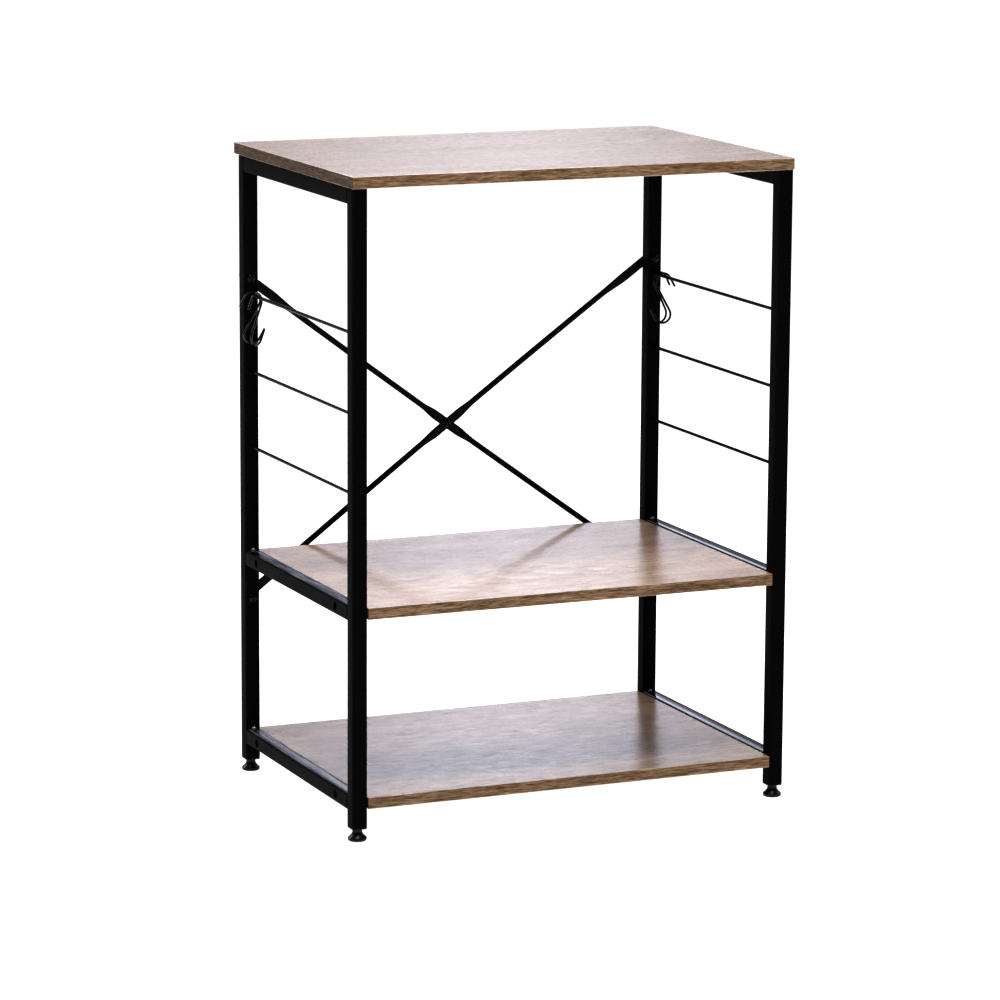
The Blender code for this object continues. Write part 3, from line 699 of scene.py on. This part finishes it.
def leg_and_rails(side, sign):
    x = sign * FRAME_X
    leg_len, leg_z = LEG_TOP - LEG_BOTTOM, (LEG_TOP + LEG_BOTTOM) / 2
    seed = 1.0 if sign < 0 else 6.0
    piece("front_leg_tube_" + side, tube_mesh("front_leg_tube_" + side, leg_len, 2),
          paint("coat_front_leg_" + side, 2, half=HALF, seed=seed),
          (x, FRONT_LEG_Y, leg_z), stands_for=("front_leg_" + side,), weighted=True)
    holes = [(BOLT_R + GAP, (0, -TUBE, z - leg_z), (0, TUBE, z - leg_z))
             for z in (BOLT_Z["upper", side], BOLT_Z["lower", side])]
    piece("rear_leg_tube_" + side, tube_mesh("rear_leg_tube_" + side, leg_len, 2, holes),
          paint("coat_rear_leg_" + side, 2, half=HALF, seed=seed + 1),
          (x, REAR_LEG_Y, leg_z), stands_for=("rear_leg_" + side,), weighted=True)
    for i, (level, z) in enumerate(RAIL_Z.items()):
        holes = []
        for y in SCREW_Y.values():
            dy = y - RAIL_Y
            if level == "top":
                holes += [(ACCESS_R, (0, dy, -TUBE), (0, dy, 0)),
                          (SCREW_R + GAP, (0, dy, HALF / 2), (0, dy, TUBE))]
            else:
                holes += [(ACCESS_R, (sign * TUBE, dy, 0), (0, dy, 0)),
                          (SCREW_R + GAP, (-sign * HALF / 2, dy, 0), (-sign * TUBE, dy, 0))]
        name = level + "_rail_tube_" + side
        mesh = tube_mesh(name, RAIL_LEN, 1, holes, 0.0 if level == "top" else 0.12 * MM)
        mesh.materials.append(paint("coat_" + level + "_rail_" + side, 1, half=HALF,
                                    seed=seed + 2 + i, rough=0.32))
        if level != "top":
            mesh.materials.append(rail_gloss("gloss_" + level + "_rail_" + side, seed + 2.6 + i))
            # the left rails' tops get a far lighter painted sheen (0.22) than the right rails' tops (0.020): painted
            # reflection, set by how the light falls
            mesh.materials.append(rail_top("top_coat_" + level + "_rail_" + side, seed + 3.1 + i,
                                           *((0.035, 0.020) if sign > 0 else (0.05, 0.22))))
            mark_rail(mesh, *(((-1, 1), 0.76) if sign > 0 else ((1,), 0.50)))
        piece(name, mesh, None, (x, RAIL_Y, z), stands_for=(level + "_rail_" + side,),
              weighted=True)

    # rods with a small weld fillet where they meet the legs
    rod_coat = paint("coat_rods_" + side, 2, base=(0.001, 0.001, 0.0012), rough=0.12,
                     spec=0.018 if sign > 0 else 0.06, seed=seed + 7)
    h = RAIL_LEN / 2
    fil = 1.5 * MM
    half_profile = [(0, h), (ROD_R + fil, h)]
    half_profile += [(ROD_R + fil - fil * math.sin(math.radians(a)),
                      h - fil + fil * math.cos(math.radians(a)))
                     for a in range(15, 91, 15)]
    half_profile += [(ROD_R, h * k / 4) for k in (3, 2, 1, 0)]
    rod_profile = half_profile + [(r, -z) for r, z in reversed(half_profile[:-1])]
    for i, z in enumerate(ROD_Z[side]):
        level = ("upper", "middle", "lower")[i]
        wob = 1.3 * i + seed
        mesh = lathe(level + "_rod_bar_" + side, rod_profile, 24, 40,
                     ripple=lambda a, zz, w=wob: (0.12 * math.sin(3 * a + w) + 0.06 * math.sin(5 * a - w))
                     * max(0.0, (abs(zz) - (h - 1.2 * MM)) / (1.2 * MM)))
        piece(level + "_rod_bar_" + side, mesh, rod_coat, (x, RAIL_Y, z),
              (math.radians(90), 0, 0), stands_for=(level + "_rod_" + side,))

    # welds: painted beads under the rails, bright tacks on top of the lower rails
    bm = bmesh.new()
    tacks = bmesh.new()
    k = 0
    for level, z in RAIL_Z.items():
        for y, toward in ((LEG_GAP_FRONT, 1), (LEG_GAP_REAR, -1)):
            k += 1
            bead(bm, Vector((x, y + toward * 0.3 * MM, z - HALF + 0.1 * MM)), 6.2 * MM, 1.05 * MM, (1, 0, 0), k)
            inner = x - sign * (HALF - 0.25 * MM)
            bead(bm, Vector((inner, y + toward * 0.25 * MM, z)), 6.0 * MM, 0.8 * MM, (0, 0, 1), k + 0.5)
            if level != "top":
                bead(tacks, Vector((x + 0.4 * MM, y + toward * 0.5 * MM, z + HALF + 0.7 * MM)),
                     1.0 * MM, 1.9 * MM, (1, 0, 0.15), k + 0.3)
    piece("weld_beads_" + side, mesh_from(bm, "weld_beads_" + side, 60),
          paint("coat_welds_" + side, 0, rough=0.30, spec=0.12, seed=seed + 8))
    piece("weld_tacks_" + side, mesh_from(tacks, "weld_tacks_" + side, 60),
          metal("bare_weld_" + side, (0.80, 0.80, 0.82), 0.26, seed))


for side_name, side_sign in SIDES:
    leg_and_rails(side_name, side_sign)

# ============================================================== cross brace
END_Y = GAP + FLAT_T / 2
BAR_Y = GAP + BRACE_R
MID_FRONT_Y = BAR_Y - FLAT_T / 2 - GAP / 2
MID_REAR_Y = BAR_Y + FLAT_T / 2 + GAP / 2


def smooth(t):
    t = min(1.0, max(0.0, t))
    return t * t * (3 - 2 * t)


def bar_mesh(name, start_z, end_z, mid_y):
    """Tube pressed flat at both ends and at the crossing, sprung through the
    crossing. Its space has the crossing on the rear plane as its origin."""
    rise = end_z - start_z
    half = math.hypot(2 * FRAME_X, rise) / 2
    along = Vector((2 * FRAME_X, 0, rise)).normalized()
    across = Vector((-along.z, 0, along.x))
    back = Vector((0, 1, 0))
    middle = Vector((-CROSS_X, 0, (start_z + end_z) / 2 - CROSS_Z))
    cross = -middle.dot(along)
    bow = -middle.dot(across) / math.cos(math.pi / 2 * cross / half)
    tip = half + PAST_BOLT
    stations = [cross, half, -half]
    for sign in (-1, 1):
        stations += [cross + sign * MID_FLAT * k / 3 for k in (1, 2)]
        stations += [cross + sign * (MID_FLAT + MID_TAPER * k / 16) for k in range(17)]
        stations += [sign * (half - END_FLAT - END_TAPER * k / 20) for k in range(21)]
        stations += [sign * (62 + 15 * k) * MM for k in range(14)]
        stations += [sign * (half - END_FLAT * k / 4) for k in (1, 2, 3)]
        stations += [sign * (tip + FLAT_W / 2 * math.sin(math.radians(a)))
                     for a in (0, 12, 24, 36, 48, 58, 67, 75, 80.5)]
    sides = 32
    bm = bmesh.new()
    rings = []
    for s in sorted(stations):
        d = abs(s)
        to_end = smooth((d - (half - END_FLAT - END_TAPER)) / END_TAPER)
        to_mid = 1 - smooth((abs(s - cross) - MID_FLAT) / MID_TAPER)
        flat = max(to_end, to_mid)
        w = 2 * BRACE_R + (FLAT_W - 2 * BRACE_R) * flat
        t = 2 * BRACE_R + (FLAT_T - 2 * BRACE_R) * flat
        y = BAR_Y + (END_Y - BAR_Y) * to_end + (mid_y - BAR_Y) * to_mid
        if d > tip:
            past = min(1.0, (d - tip) / (FLAT_W / 2))
            w = max(t * 1.001, FLAT_W * math.sqrt(1 - past * past))
        lift = bow * math.cos(math.pi / 2 * s / half)
        ring = []
        for k in range(sides):
            a = 2 * math.pi * (k + 0.5) / sides
            side = 1 if math.cos(a) > 0 else -1
            u = side * (w - t) / 2 + t / 2 * math.cos(a)
            # a shallow crease runs down the middle of a pressed stretch
            dip = 0.10 * MM * math.exp(-(u / (1.6 * MM)) ** 2) * flat * (1 - flat) * 4
            v = t / 2 * math.sin(a)
            v -= math.copysign(dip, v)
            ring.append(bm.verts.new(middle + along * s + across * (u + lift) + back * (y + v)))
        rings.append(ring)
    for lower, upper in zip(rings[:-1], rings[1:]):
        for k in range(sides):
            j = (k + 1) % sides
            bm.faces.new((lower[k], lower[j], upper[j], upper[k]))
    bm.faces.new(list(reversed(rings[0])))
    bm.faces.new(rings[-1])
    if bm.calc_volume(signed=True) < 0:
        bmesh.ops.reverse_faces(bm, faces=bm.faces)
    mesh = bpy.data.meshes.new(name)
    bm.to_mesh(mesh)
    bm.free()
    cuts = []
    for radius, x, z in ((MID_BOLT_R, 0, 0), (BOLT_R, -FRAME_X - CROSS_X, start_z - CROSS_Z),
                         (BOLT_R, FRAME_X - CROSS_X, end_z - CROSS_Z)):
        cuts.append(drill_tool(radius + GAP, (x, -4 * MM, z), (x, 14 * MM, z), 24))
    mesh = boolean_mesh(mesh, cuts)
    mesh.shade_smooth()
    mesh.set_sharp_from_angle(angle=math.radians(38))
    return mesh


for bar_name, bar_from, bar_to, bar_y in (
        ("rising", BOLT_Z["lower", "left"], BOLT_Z["upper", "right"], MID_FRONT_Y),
        ("falling", BOLT_Z["upper", "left"], BOLT_Z["lower", "right"], MID_REAR_Y)):
    piece("brace_tube_" + bar_name, bar_mesh("brace_tube_" + bar_name, bar_from, bar_to, bar_y),
          brace_coat("coat_brace_" + bar_name, 1.0 if bar_name == "rising" else 3.0),
          (CROSS_X, REAR_FACE, CROSS_Z), stands_for=("brace_bar_" + bar_name,))


def bolt_mesh(name, shank_r, head_r, head_h, length, socket_af):
    edge = 0.35 * MM
    big = (head_r * head_r + (head_h - edge) ** 2) / (2 * (head_h - edge))
    profile = [(0, head_h)]
    n = 12
    for k in range(1, n + 1):
        r = head_r * k / n
        profile.append((r, edge + math.sqrt(max(0, big * big - r * r)) - (big - (head_h - edge))))
    profile += [(head_r, edge * 0.4), (head_r - 0.25 * MM, 0), (shank_r, 0),
                (shank_r, -0.5 * MM)]
    profile += threads(shank_r, -length * 0.35, -length + 0.6 * MM, 1.0 * MM, 0.32 * MM)
    profile += [(shank_r - 0.6 * MM, -length), (0, -length)]
    mesh = lathe(name, profile, 40, 40)
    bm = bmesh.new()
    bmesh.ops.create_cone(bm, cap_ends=True, segments=6, radius1=socket_af / math.sqrt(3) * 0.94,
                          radius2=socket_af / math.sqrt(3), depth=head_h * 0.62 + 1 * MM)
    bmesh.ops.translate(bm, verts=bm.verts, vec=(0, 0, head_h + (1 * MM - head_h * 0.62) / 2))
    tool = bpy.data.meshes.new("socket")
    bm.to_mesh(tool)
    bm.free()
    mesh = boolean_mesh(mesh, [tool])
    mesh.shade_smooth()
    mesh.set_sharp_from_angle(angle=math.radians(34))
    return mesh


def nut_mesh(name, across_flats, thick, hole_r):
    """Hexagon nut: corners chamfered by a turned blank, with a threaded hole."""
    bm = bmesh.new()
    bmesh.ops.create_cone(bm, cap_ends=True, segments=6, radius1=across_flats / math.sqrt(3),
                          radius2=across_flats / math.sqrt(3), depth=thick)
    hexagon = bpy.data.meshes.new(name)
    bm.to_mesh(hexagon)
    bm.free()
    r_in, r_out = across_flats / 2 * 0.97, across_flats / math.sqrt(3) + 0.1 * MM
    drop = (r_out - r_in) * 0.42
    h = thick / 2
    blank = lathe("blank", [(0, h), (r_in, h), (r_out, h - drop), (r_out, -h + drop),
                            (r_in, -h), (0, -h)], 48)
    body = boolean_mesh(hexagon, [blank], 'INTERSECT')
    hole = [(0, h + 1 * MM), (hole_r + 0.5 * MM, h + 1 * MM), (hole_r + 0.5 * MM, h), (hole_r, h - 0.5 * MM)]
    hole += [(r + 0.28 * MM, z) for r, z in threads(hole_r, h - 0.5 * MM, -h + 0.6 * MM, 1.0 * MM, 0.28 * MM)]
    hole += [(hole_r, -h + 0.5 * MM), (hole_r + 0.5 * MM, -h), (hole_r + 0.5 * MM, -h - 1 * MM), (0, -h - 1 * MM)]
    mesh = boolean_mesh(body, [lathe("thread", hole, 36)])
    mesh.shade_smooth()
    mesh.set_sharp_from_angle(angle=math.radians(25))
    return mesh


NUT_SEAT = REAR_FACE + GAP + FLAT_T + GAP
HEAD_SEAT = LEG_GAP_REAR - GAP
BOLT_L = NUT_SEAT + NUT_T + 1.3 * MM - HEAD_SEAT
black_bolt = gloss_black("black_bolt", (0.003, 0.003, 0.0035), 0.14, 0.16, 5.0)
black_nut = gloss_black("black_nut", (0.004, 0.004, 0.0045), 0.22, 0.2, 6.0)
end_bolt = bolt_mesh("end_bolt", BOLT_R, BOLT_HEAD_R, BOLT_HEAD_H, BOLT_L, 4 * MM)
end_bolt.materials.append(black_bolt)
end_nut = nut_mesh("end_nut", NUT_AF, NUT_T, BOLT_R + 0.06 * MM)
end_nut.materials.append(black_nut)
for side_name, side_sign in SIDES:
    for place in ("upper", "lower"):
        z = BOLT_Z[place, side_name]
        tag = place + "_" + side_name
        piece("brace_bolt_dome_" + tag, end_bolt, black_bolt,
              (side_sign * FRAME_X, HEAD_SEAT, z),
              (math.radians(90), 0, 0), stands_for=("brace_bolt_" + tag,))
        piece("brace_nut_hex_" + tag, end_nut, black_nut,
              (side_sign * FRAME_X, NUT_SEAT + NUT_T / 2, z),
              (math.radians(90), math.radians(15), 0), stands_for=("brace_nut_" + tag,))
mid_front = REAR_FACE + MID_FRONT_Y - FLAT_T / 2 - GAP
mid_nut = REAR_FACE + MID_REAR_Y + FLAT_T / 2 + GAP
mid_bolt = bolt_mesh("mid_bolt", MID_BOLT_R, MID_HEAD_R, MID_HEAD_H,
                     mid_nut + MID_NUT_T + 1 * MM - mid_front, 3 * MM)
piece("brace_centre_bolt_dome", mid_bolt, black_bolt, (CROSS_X, mid_front, CROSS_Z),
      (math.radians(90), 0, 0), stands_for=("brace_centre_bolt",))
piece("brace_centre_nut_hex", nut_mesh("mid_nut", MID_NUT_AF, MID_NUT_T, MID_BOLT_R + 0.06 * MM),
      black_nut, (CROSS_X, mid_nut + MID_NUT_T / 2, CROSS_Z), (math.radians(90), math.radians(10), 0),
      stands_for=("brace_centre_nut",))


# ============================================================== board screws
def screw_mesh(name, length):
    r, h = SCREW_HEAD_R, SCREW_HEAD_H
    profile = [(0, h)]
    profile += [(r * math.sin(math.radians(a)) ** 0.8, h * (0.30 + 0.70 * math.cos(math.radians(a)) ** 0.7))
                for a in (15, 30, 45, 60, 75, 88)]
    profile += [(r, 0.2 * MM), (r - 0.2 * MM, 0), (SCREW_R, 0)]
    profile += threads(SCREW_R, -1.5 * MM, -length * 0.84, 1.6 * MM, 0.55 * MM)
    profile += [(SCREW_R * 0.55, -length * 0.92), (0, -length)]
    mesh = lathe(name, profile, 28, 40)
    cuts = []
    for turn in (0, 90):
        bm = bmesh.new()
        bmesh.ops.create_cube(bm, size=1.0)
        for v in bm.verts:
            k = 1.0 if v.co.z > 0 else 0.45
            v.co = Vector((v.co.x * 4.2 * MM * k, v.co.y * 0.85 * MM, v.co.z * 2.0 * MM + h))
        bmesh.ops.rotate(bm, verts=bm.verts, matrix=Matrix.Rotation(math.radians(turn + 20), 3, 'Z'))
        tool = bpy.data.meshes.new("slot")
        bm.to_mesh(tool)
        bm.free()
        cuts.append(tool)
    mesh = boolean_mesh(mesh, cuts)
    mesh.shade_smooth()
    mesh.set_sharp_from_angle(angle=math.radians(34))
    return mesh


zinc = metal("zinc_plate", (0.60, 0.60, 0.62), 0.34, 4.0)
side_screw, top_screw = screw_mesh("side_screw", SIDE_SCREW_L), screw_mesh("top_screw", TOP_SCREW_L)
for side_name, sign in SIDES:
    for place, y in SCREW_Y.items():
        tag = place + "_" + side_name
        piece("top_screw_pan_" + tag, top_screw, zinc, (sign * FRAME_X, y, LEG_TOP - WALL - GAP),
              (math.radians(180), 0, 0), stands_for=("top_screw_" + tag,))
        for level in ("middle", "bottom"):
            piece(level + "_screw_pan_" + tag, side_screw, zinc,
                  (sign * (FRAME_X - HALF + WALL + GAP), y, RAIL_Z[level]),
                  (0, sign * math.radians(90), 0), stands_for=(level + "_screw_" + tag,))


# ======================================================== inserts and feet
def insert_mesh(name):
    """Square flange with round corners, ribbed plug above it, stud hole."""
    flange, f_half = 1.6 * MM, TUBE / 2 - 0.3 * MM
    plug_half = TUBE / 2 - WALL - GAP
    low, top = 15.5 * MM, 37.5 * MM
    bm = bmesh.new()
    levels = [(f_half - 0.5 * MM, low, 1.6), (f_half, low + 0.5 * MM, 2.0),
              (f_half, low + flange - 0.2 * MM, 2.0), (f_half - 0.2 * MM, low + flange, 2.0)]
    z = low + flange
    levels.append((plug_half - 0.7 * MM, z, 1.0))
    z += 1.2 * MM
    while z + 3.4 * MM < top - 1.5 * MM:
        levels += [(plug_half - 0.7 * MM, z, 1.0), (plug_half, z + 0.5 * MM, 1.0),
                   (plug_half, z + 1.5 * MM, 1.0), (plug_half - 0.7 * MM, z + 1.9 * MM, 1.0)]
        z += 3.4 * MM
    levels += [(plug_half - 0.7 * MM, top - 1.2 * MM, 1.0), (plug_half - 1.5 * MM, top, 1.0)]
    rings = []
    for half, zz, rad in levels:
        rings.append([bm.verts.new((u, v, zz)) for u, v in rounded_square(half, rad * MM, 0.0, 2, 5)])
    count = len(rings[0])
    for a, b in zip(rings[:-1], rings[1:]):
        for i in range(count):
            j = (i + 1) % count
            bm.faces.new((a[i], a[j], b[j], b[i]))
    bm.faces.new(list(reversed(rings[0])))
    bm.faces.new(rings[-1])
    if bm.calc_volume(signed=True) < 0:
        bmesh.ops.reverse_faces(bm, faces=bm.faces)
    mesh = bpy.data.meshes.new(name)
    bm.to_mesh(mesh)
    bm.free()
    mesh = boolean_mesh(mesh, [drill_tool(STUD_R + 0.12 * MM, (0, 0, 10 * MM), (0, 0, 45 * MM))])
    mesh.shade_smooth()
    mesh.set_sharp_from_angle(angle=math.radians(35))
    return mesh


def foot_mesh(name):
    """Bell-shaped levelling foot: threaded stud, waisted neck, flared base."""
    r, n = FOOT_BASE_R, FOOT_NECK_R
    profile = [(0, STUD_TOP), (STUD_R - 0.8 * MM, STUD_TOP), (STUD_R - 0.1 * MM, STUD_TOP - 0.7 * MM)]
    profile += threads(STUD_R - 0.05 * MM, STUD_TOP - 1.0 * MM, FOOT_H + 0.2 * MM, 1.25 * MM, 0.40 * MM)
    profile += [(STUD_R - 0.4 * MM, FOOT_H), (n - 0.6 * MM, FOOT_H), (n - 0.1 * MM, FOOT_H - 0.5 * MM)]
    # waist and flare, as a smooth curve down to the rim
    p0, p1, p2, p3 = (n - 0.1 * MM, FOOT_H - 0.5 * MM), (n - 1.1 * MM, 9.6 * MM), \
        (n + 1.7 * MM, 7.4 * MM), (r - 0.9 * MM, 4.9 * MM)
    for k in range(1, 15):
        t = k / 14
        a, b, c, d = (1 - t) ** 3, 3 * (1 - t) ** 2 * t, 3 * (1 - t) * t * t, t ** 3
        profile.append((a * p0[0] + b * p1[0] + c * p2[0] + d * p3[0],
                        a * p0[1] + b * p1[1] + c * p2[1] + d * p3[1]))
    profile += arc(r - 1.6 * MM, 3.4 * MM, 1.6 * MM, 50, 0, 5)
    profile += [(r - 0.05 * MM, 2.4 * MM)]
    profile += arc(r - 2.0 * MM, 1.9 * MM, 1.9 * MM, 0, -90, 7)[1:]
    profile += [(r - 4.5 * MM, 0), (r - 5.0 * MM, 0.5 * MM), (0, 0.5 * MM)]
    return lathe(name, profile, 64, 40)


insert_plastic, foot_plastic = moulded("insert_plastic", rough=0.42, spec=0.15), moulded("foot_plastic", base=(0.0022, 0.0022, 0.0025), rough=0.30, spec=0.22)
insert, foot = insert_mesh("leg_insert"), foot_mesh("levelling_foot")
for side_name, sign in SIDES:
    for place, y in (("front", FRONT_LEG_Y), ("rear", REAR_LEG_Y)):
        tag = place + "_" + side_name
        piece("leg_plug_" + tag, insert, insert_plastic, (sign * FRAME_X, y, 0),
              stands_for=("leg_insert_" + tag,))
        piece("foot_bell_" + tag, foot, foot_plastic, (sign * FRAME_X, y, 0), body="foot_" + tag,
              stands_for=("levelling_foot_" + tag,))

# =================================================================== S-hooks
BEND_DROP = BEND_R - WIRE_R - ROD_R - GAP
SLANT = math.atan2(2 * BEND_R, SHANK)


def hook_mesh(name, mirror):
    """Bent wire: two U bends, a straight shank and straight tips with
    slightly rounded cut ends."""
    n = 44
    flat = [(BEND_R, -HOOK_TIP), (BEND_R, -HOOK_TIP + 0.12 * MM), (BEND_R, -HOOK_TIP + 0.45 * MM)]
    upper = flat + [(BEND_R, -HOOK_TIP * (1 - k / 6)) for k in range(1, 6)]
    upper += [(BEND_R * math.cos(math.pi * k / n), BEND_R * math.sin(math.pi * k / n)) for k in range(n + 1)]
    lower = [(-2 * BEND_R - x, -SHANK - z) for x, z in reversed(upper)]
    shank = [(-BEND_R, -SHANK * k / 10) for k in range(1, 10)]
    ca, sa = math.cos(SLANT), math.sin(SLANT)
    side = -1 if mirror else 1
    pts = [Vector((side * (x * ca - z * sa), 0, x * sa + z * ca - BEND_DROP))
           for x, z in upper + shank + lower]
    radius = {0: WIRE_R - 0.40 * MM, 1: WIRE_R - 0.14 * MM}
    sides = 24
    bm = bmesh.new()
    rings = []
    wide = Vector((0, 1, 0))
    total = len(pts)
    for i, p in enumerate(pts):
        t = (pts[min(i + 1, total - 1)] - pts[max(i - 1, 0)]).normalized()
        b = t.cross(wide).normalized()
        r = radius.get(min(i, total - 1 - i), WIRE_R)
        rings.append([bm.verts.new(p + (wide * math.cos(2 * math.pi * k / sides)
                                        + b * math.sin(2 * math.pi * k / sides)) * r)
                      for k in range(sides)])
    for a, c in zip(rings[:-1], rings[1:]):
        for k in range(sides):
            j = (k + 1) % sides
            bm.faces.new((a[k], a[j], c[j], c[k]))
    bm.faces.new(list(reversed(rings[0])))
    bm.faces.new(rings[-1])
    return mesh_from(bm, name, 40)


hook_coats = {True: gloss_black("hook_coat_left", (0.0009, 0.0009, 0.0011), 0.09, 0.42, 9.0),
              False: gloss_black("hook_coat_right", (0.0009, 0.0009, 0.0011), 0.09, 0.06, 11.0)}
hook_meshes = {True: hook_mesh("hook_wire_mirrored", True), False: hook_mesh("hook_wire", False)}
for key, (y, twist) in HOOKS.items():
    left = key.startswith("left")
    piece("s_hook_wire_" + key, hook_meshes[left], hook_coats[left],
          ((-1 if left else 1) * FRAME_X, y, ROD_Z["left" if left else "right"][0]),
          (0, 0, twist), body="hook_" + key,
          stands_for=("s_hook_" + key,))

# ===================================================================== stage
bm = bmesh.new()
bmesh.ops.create_grid(bm, x_segments=1, y_segments=1, size=60.0)
floor_mesh = bpy.data.meshes.new("floor")
bm.to_mesh(floor_mesh)
bm.free()
floor = bpy.data.objects.new("floor", floor_mesh)
# the floor is lower than the feet by their travel, so that it cuts none of
# them when they are screwed out
floor.location.z = -12.3 * MM
bpy.context.scene.collection.objects.link(floor)
floor_nodes = Nodes("pale_floor")
floor_tone = floor_nodes.noise((3, 3, 3), 2, 0.5)
floor_nodes.to("Base Color", floor_nodes.mix(floor_tone, (0.58, 0.58, 0.58), (0.62, 0.62, 0.62)))
floor_nodes.set("Roughness", 0.9)
floor_nodes.set("Specular IOR Level", 0.0)
floor_nodes.set("Emission Color", (1, 1, 1, 1))
floor_nodes.set("Emission Strength", 0.97)
floor_mesh.materials.append(floor_nodes.mat)

# ===================================================================== light
scene = bpy.context.scene
world = bpy.data.worlds.new("studio")
scene.world = world
world.use_nodes = True
wt = world.node_tree
wt.nodes.clear()
w_out = wt.nodes.new("ShaderNodeOutputWorld")
w_bg = wt.nodes.new("ShaderNodeBackground")
w_coord = wt.nodes.new("ShaderNodeTexCoord")
w_xyz = wt.nodes.new("ShaderNodeSeparateXYZ")
wt.links.new(w_coord.outputs["Generated"], w_xyz.inputs[0])


def w_math(op, a, b=0.0, c=0.0, clamp=False):
    node = wt.nodes.new("ShaderNodeMath")
    node.operation = op
    node.use_clamp = clamp
    for i, v in enumerate((a, b, c)):
        if isinstance(v, (int, float)):
            node.inputs[i].default_value = v
        else:
            wt.links.new(v, node.inputs[i])
    return node.outputs[0]


def w_ramp(fac, stops):
    node = wt.nodes.new("ShaderNodeValToRGB")
    node.color_ramp.interpolation = 'B_SPLINE'
    els = node.color_ramp.elements
    while len(els) < len(stops):
        els.new(0.5)
    for el, (pos, v) in zip(els, stops):
        el.position = pos
        el.color = (v, v, v, 1)
    wt.links.new(fac, node.inputs[0])
    return node.outputs[0]


# a small bright panel low behind the shelf, soft light round it, a dim
# ceiling and a dim front
north = w_math('MULTIPLY_ADD', w_xyz.outputs[1], 0.5, 0.5, clamp=True)
around = w_ramp(north, [(0.0, 0.08), (0.35, 0.11), (0.60, 0.20), (0.85, 0.42), (1.0, 0.47)])
height = w_ramp(w_math('ABSOLUTE', w_xyz.outputs[2]),
                [(0.0, 0.40), (0.08, 0.56), (0.14, 0.54), (0.20, 0.45), (0.30, 0.32),
                 (0.42, 0.85), (0.60, 0.75), (0.80, 0.12), (1.0, 0.05)])
turn = w_math('ARCTAN2', w_xyz.outputs[0], w_xyz.outputs[1])
off_axis = w_math('DIVIDE', w_math('SUBTRACT', turn, math.radians(23.6)), math.radians(2.45))
rise = w_math('ARCSINE', w_math('ABSOLUTE', w_xyz.outputs[2]))
off_level = w_math('DIVIDE', w_math('SUBTRACT', rise, math.radians(16.3)), math.radians(2.2))
apart = w_math('ADD', w_math('MULTIPLY', off_axis, off_axis), w_math('MULTIPLY', off_level, off_level))
panel = w_math('EXPONENT', w_math('MULTIPLY', apart, -1.0))
soft = w_math('MULTIPLY_ADD', w_math('MULTIPLY', around, height), 2.0, 0.03)
level = w_math('MULTIPLY_ADD', panel, 12.6, soft)
wt.links.new(level, w_bg.inputs["Strength"])
w_bg.inputs["Color"].default_value = (0.92, 0.965, 1.13, 1)
wt.links.new(w_bg.outputs[0], w_out.inputs[0])


def softbox(name, location, target, size_x, size_y, radiance, colour=(1, 1, 1)):
    light = bpy.data.lights.new(name, 'AREA')
    light.shape = 'RECTANGLE'
    light.size, light.size_y = size_x, size_y
    light.energy = radiance * math.pi * size_x * size_y
    light.color = colour
    obj = bpy.data.objects.new(name, light)
    scene.collection.objects.link(obj)
    obj.location = location
    aim = (Vector(target) - Vector(location)).normalized()
    obj.rotation_euler = aim.to_track_quat('-Z', 'Y').to_euler()
    obj.visible_camera = False
    return obj


softbox("key_above", (-0.45, -1.12, 3.5), (0, 0, 0.3), 1.7, 0.55, 22.0, (1.0, 0.985, 0.945))
softbox("rear_light_left", (-2.4, 3.3, 2.75), (0, 0, 0.4), 2.4, 1.6, 6.5, (1.0, 0.985, 0.99))
softbox("rear_light_high", (1.11, 2.75, 3.27), (0, 0, 0.3), 1.2, 0.8, 21.0, (1.0, 0.985, 0.98))
softbox("rear_light_right", (4.0, 1.3, 2.75), (0, 0, 0.4), 2.2, 1.5, 3.5, (1.0, 0.985, 0.99))

# ==================================================================== camera
YAW, PITCH, ROLL = math.radians(-23.516), math.radians(-10.862), math.radians(0.350)
right0 = Vector((math.cos(YAW), math.sin(YAW), 0))
fwd0 = Vector((-math.sin(YAW), math.cos(YAW), 0))
zed = Vector((0, 0, 1))
fwd = fwd0 * math.cos(PITCH) + zed * math.sin(PITCH)
up = -fwd0 * math.sin(PITCH) + zed * math.cos(PITCH)
r_axis = right0 * math.cos(ROLL) + up * math.sin(ROLL)
u_axis = -right0 * math.sin(ROLL) + up * math.cos(ROLL)
cam_data = bpy.data.cameras.new("camera")
cam_data.sensor_fit = 'HORIZONTAL'
cam_data.sensor_width = 36.0
cam_data.lens = 4370.28 * 36.0 / 1000.0
cam_data.clip_end = 200
cam = bpy.data.objects.new("camera", cam_data)
scene.collection.objects.link(cam)
cam.matrix_world = Matrix.Translation(Vector((-2.23621, -5.11113, 1.44718))) @ Matrix((
    (r_axis.x, u_axis.x, -fwd.x, 0), (r_axis.y, u_axis.y, -fwd.y, 0),
    (r_axis.z, u_axis.z, -fwd.z, 0), (0, 0, 0, 1)))
scene.camera = cam
scene.view_settings.view_transform = 'Standard'
scene.view_settings.gamma = 0.8

bpy.context.view_layer.update()
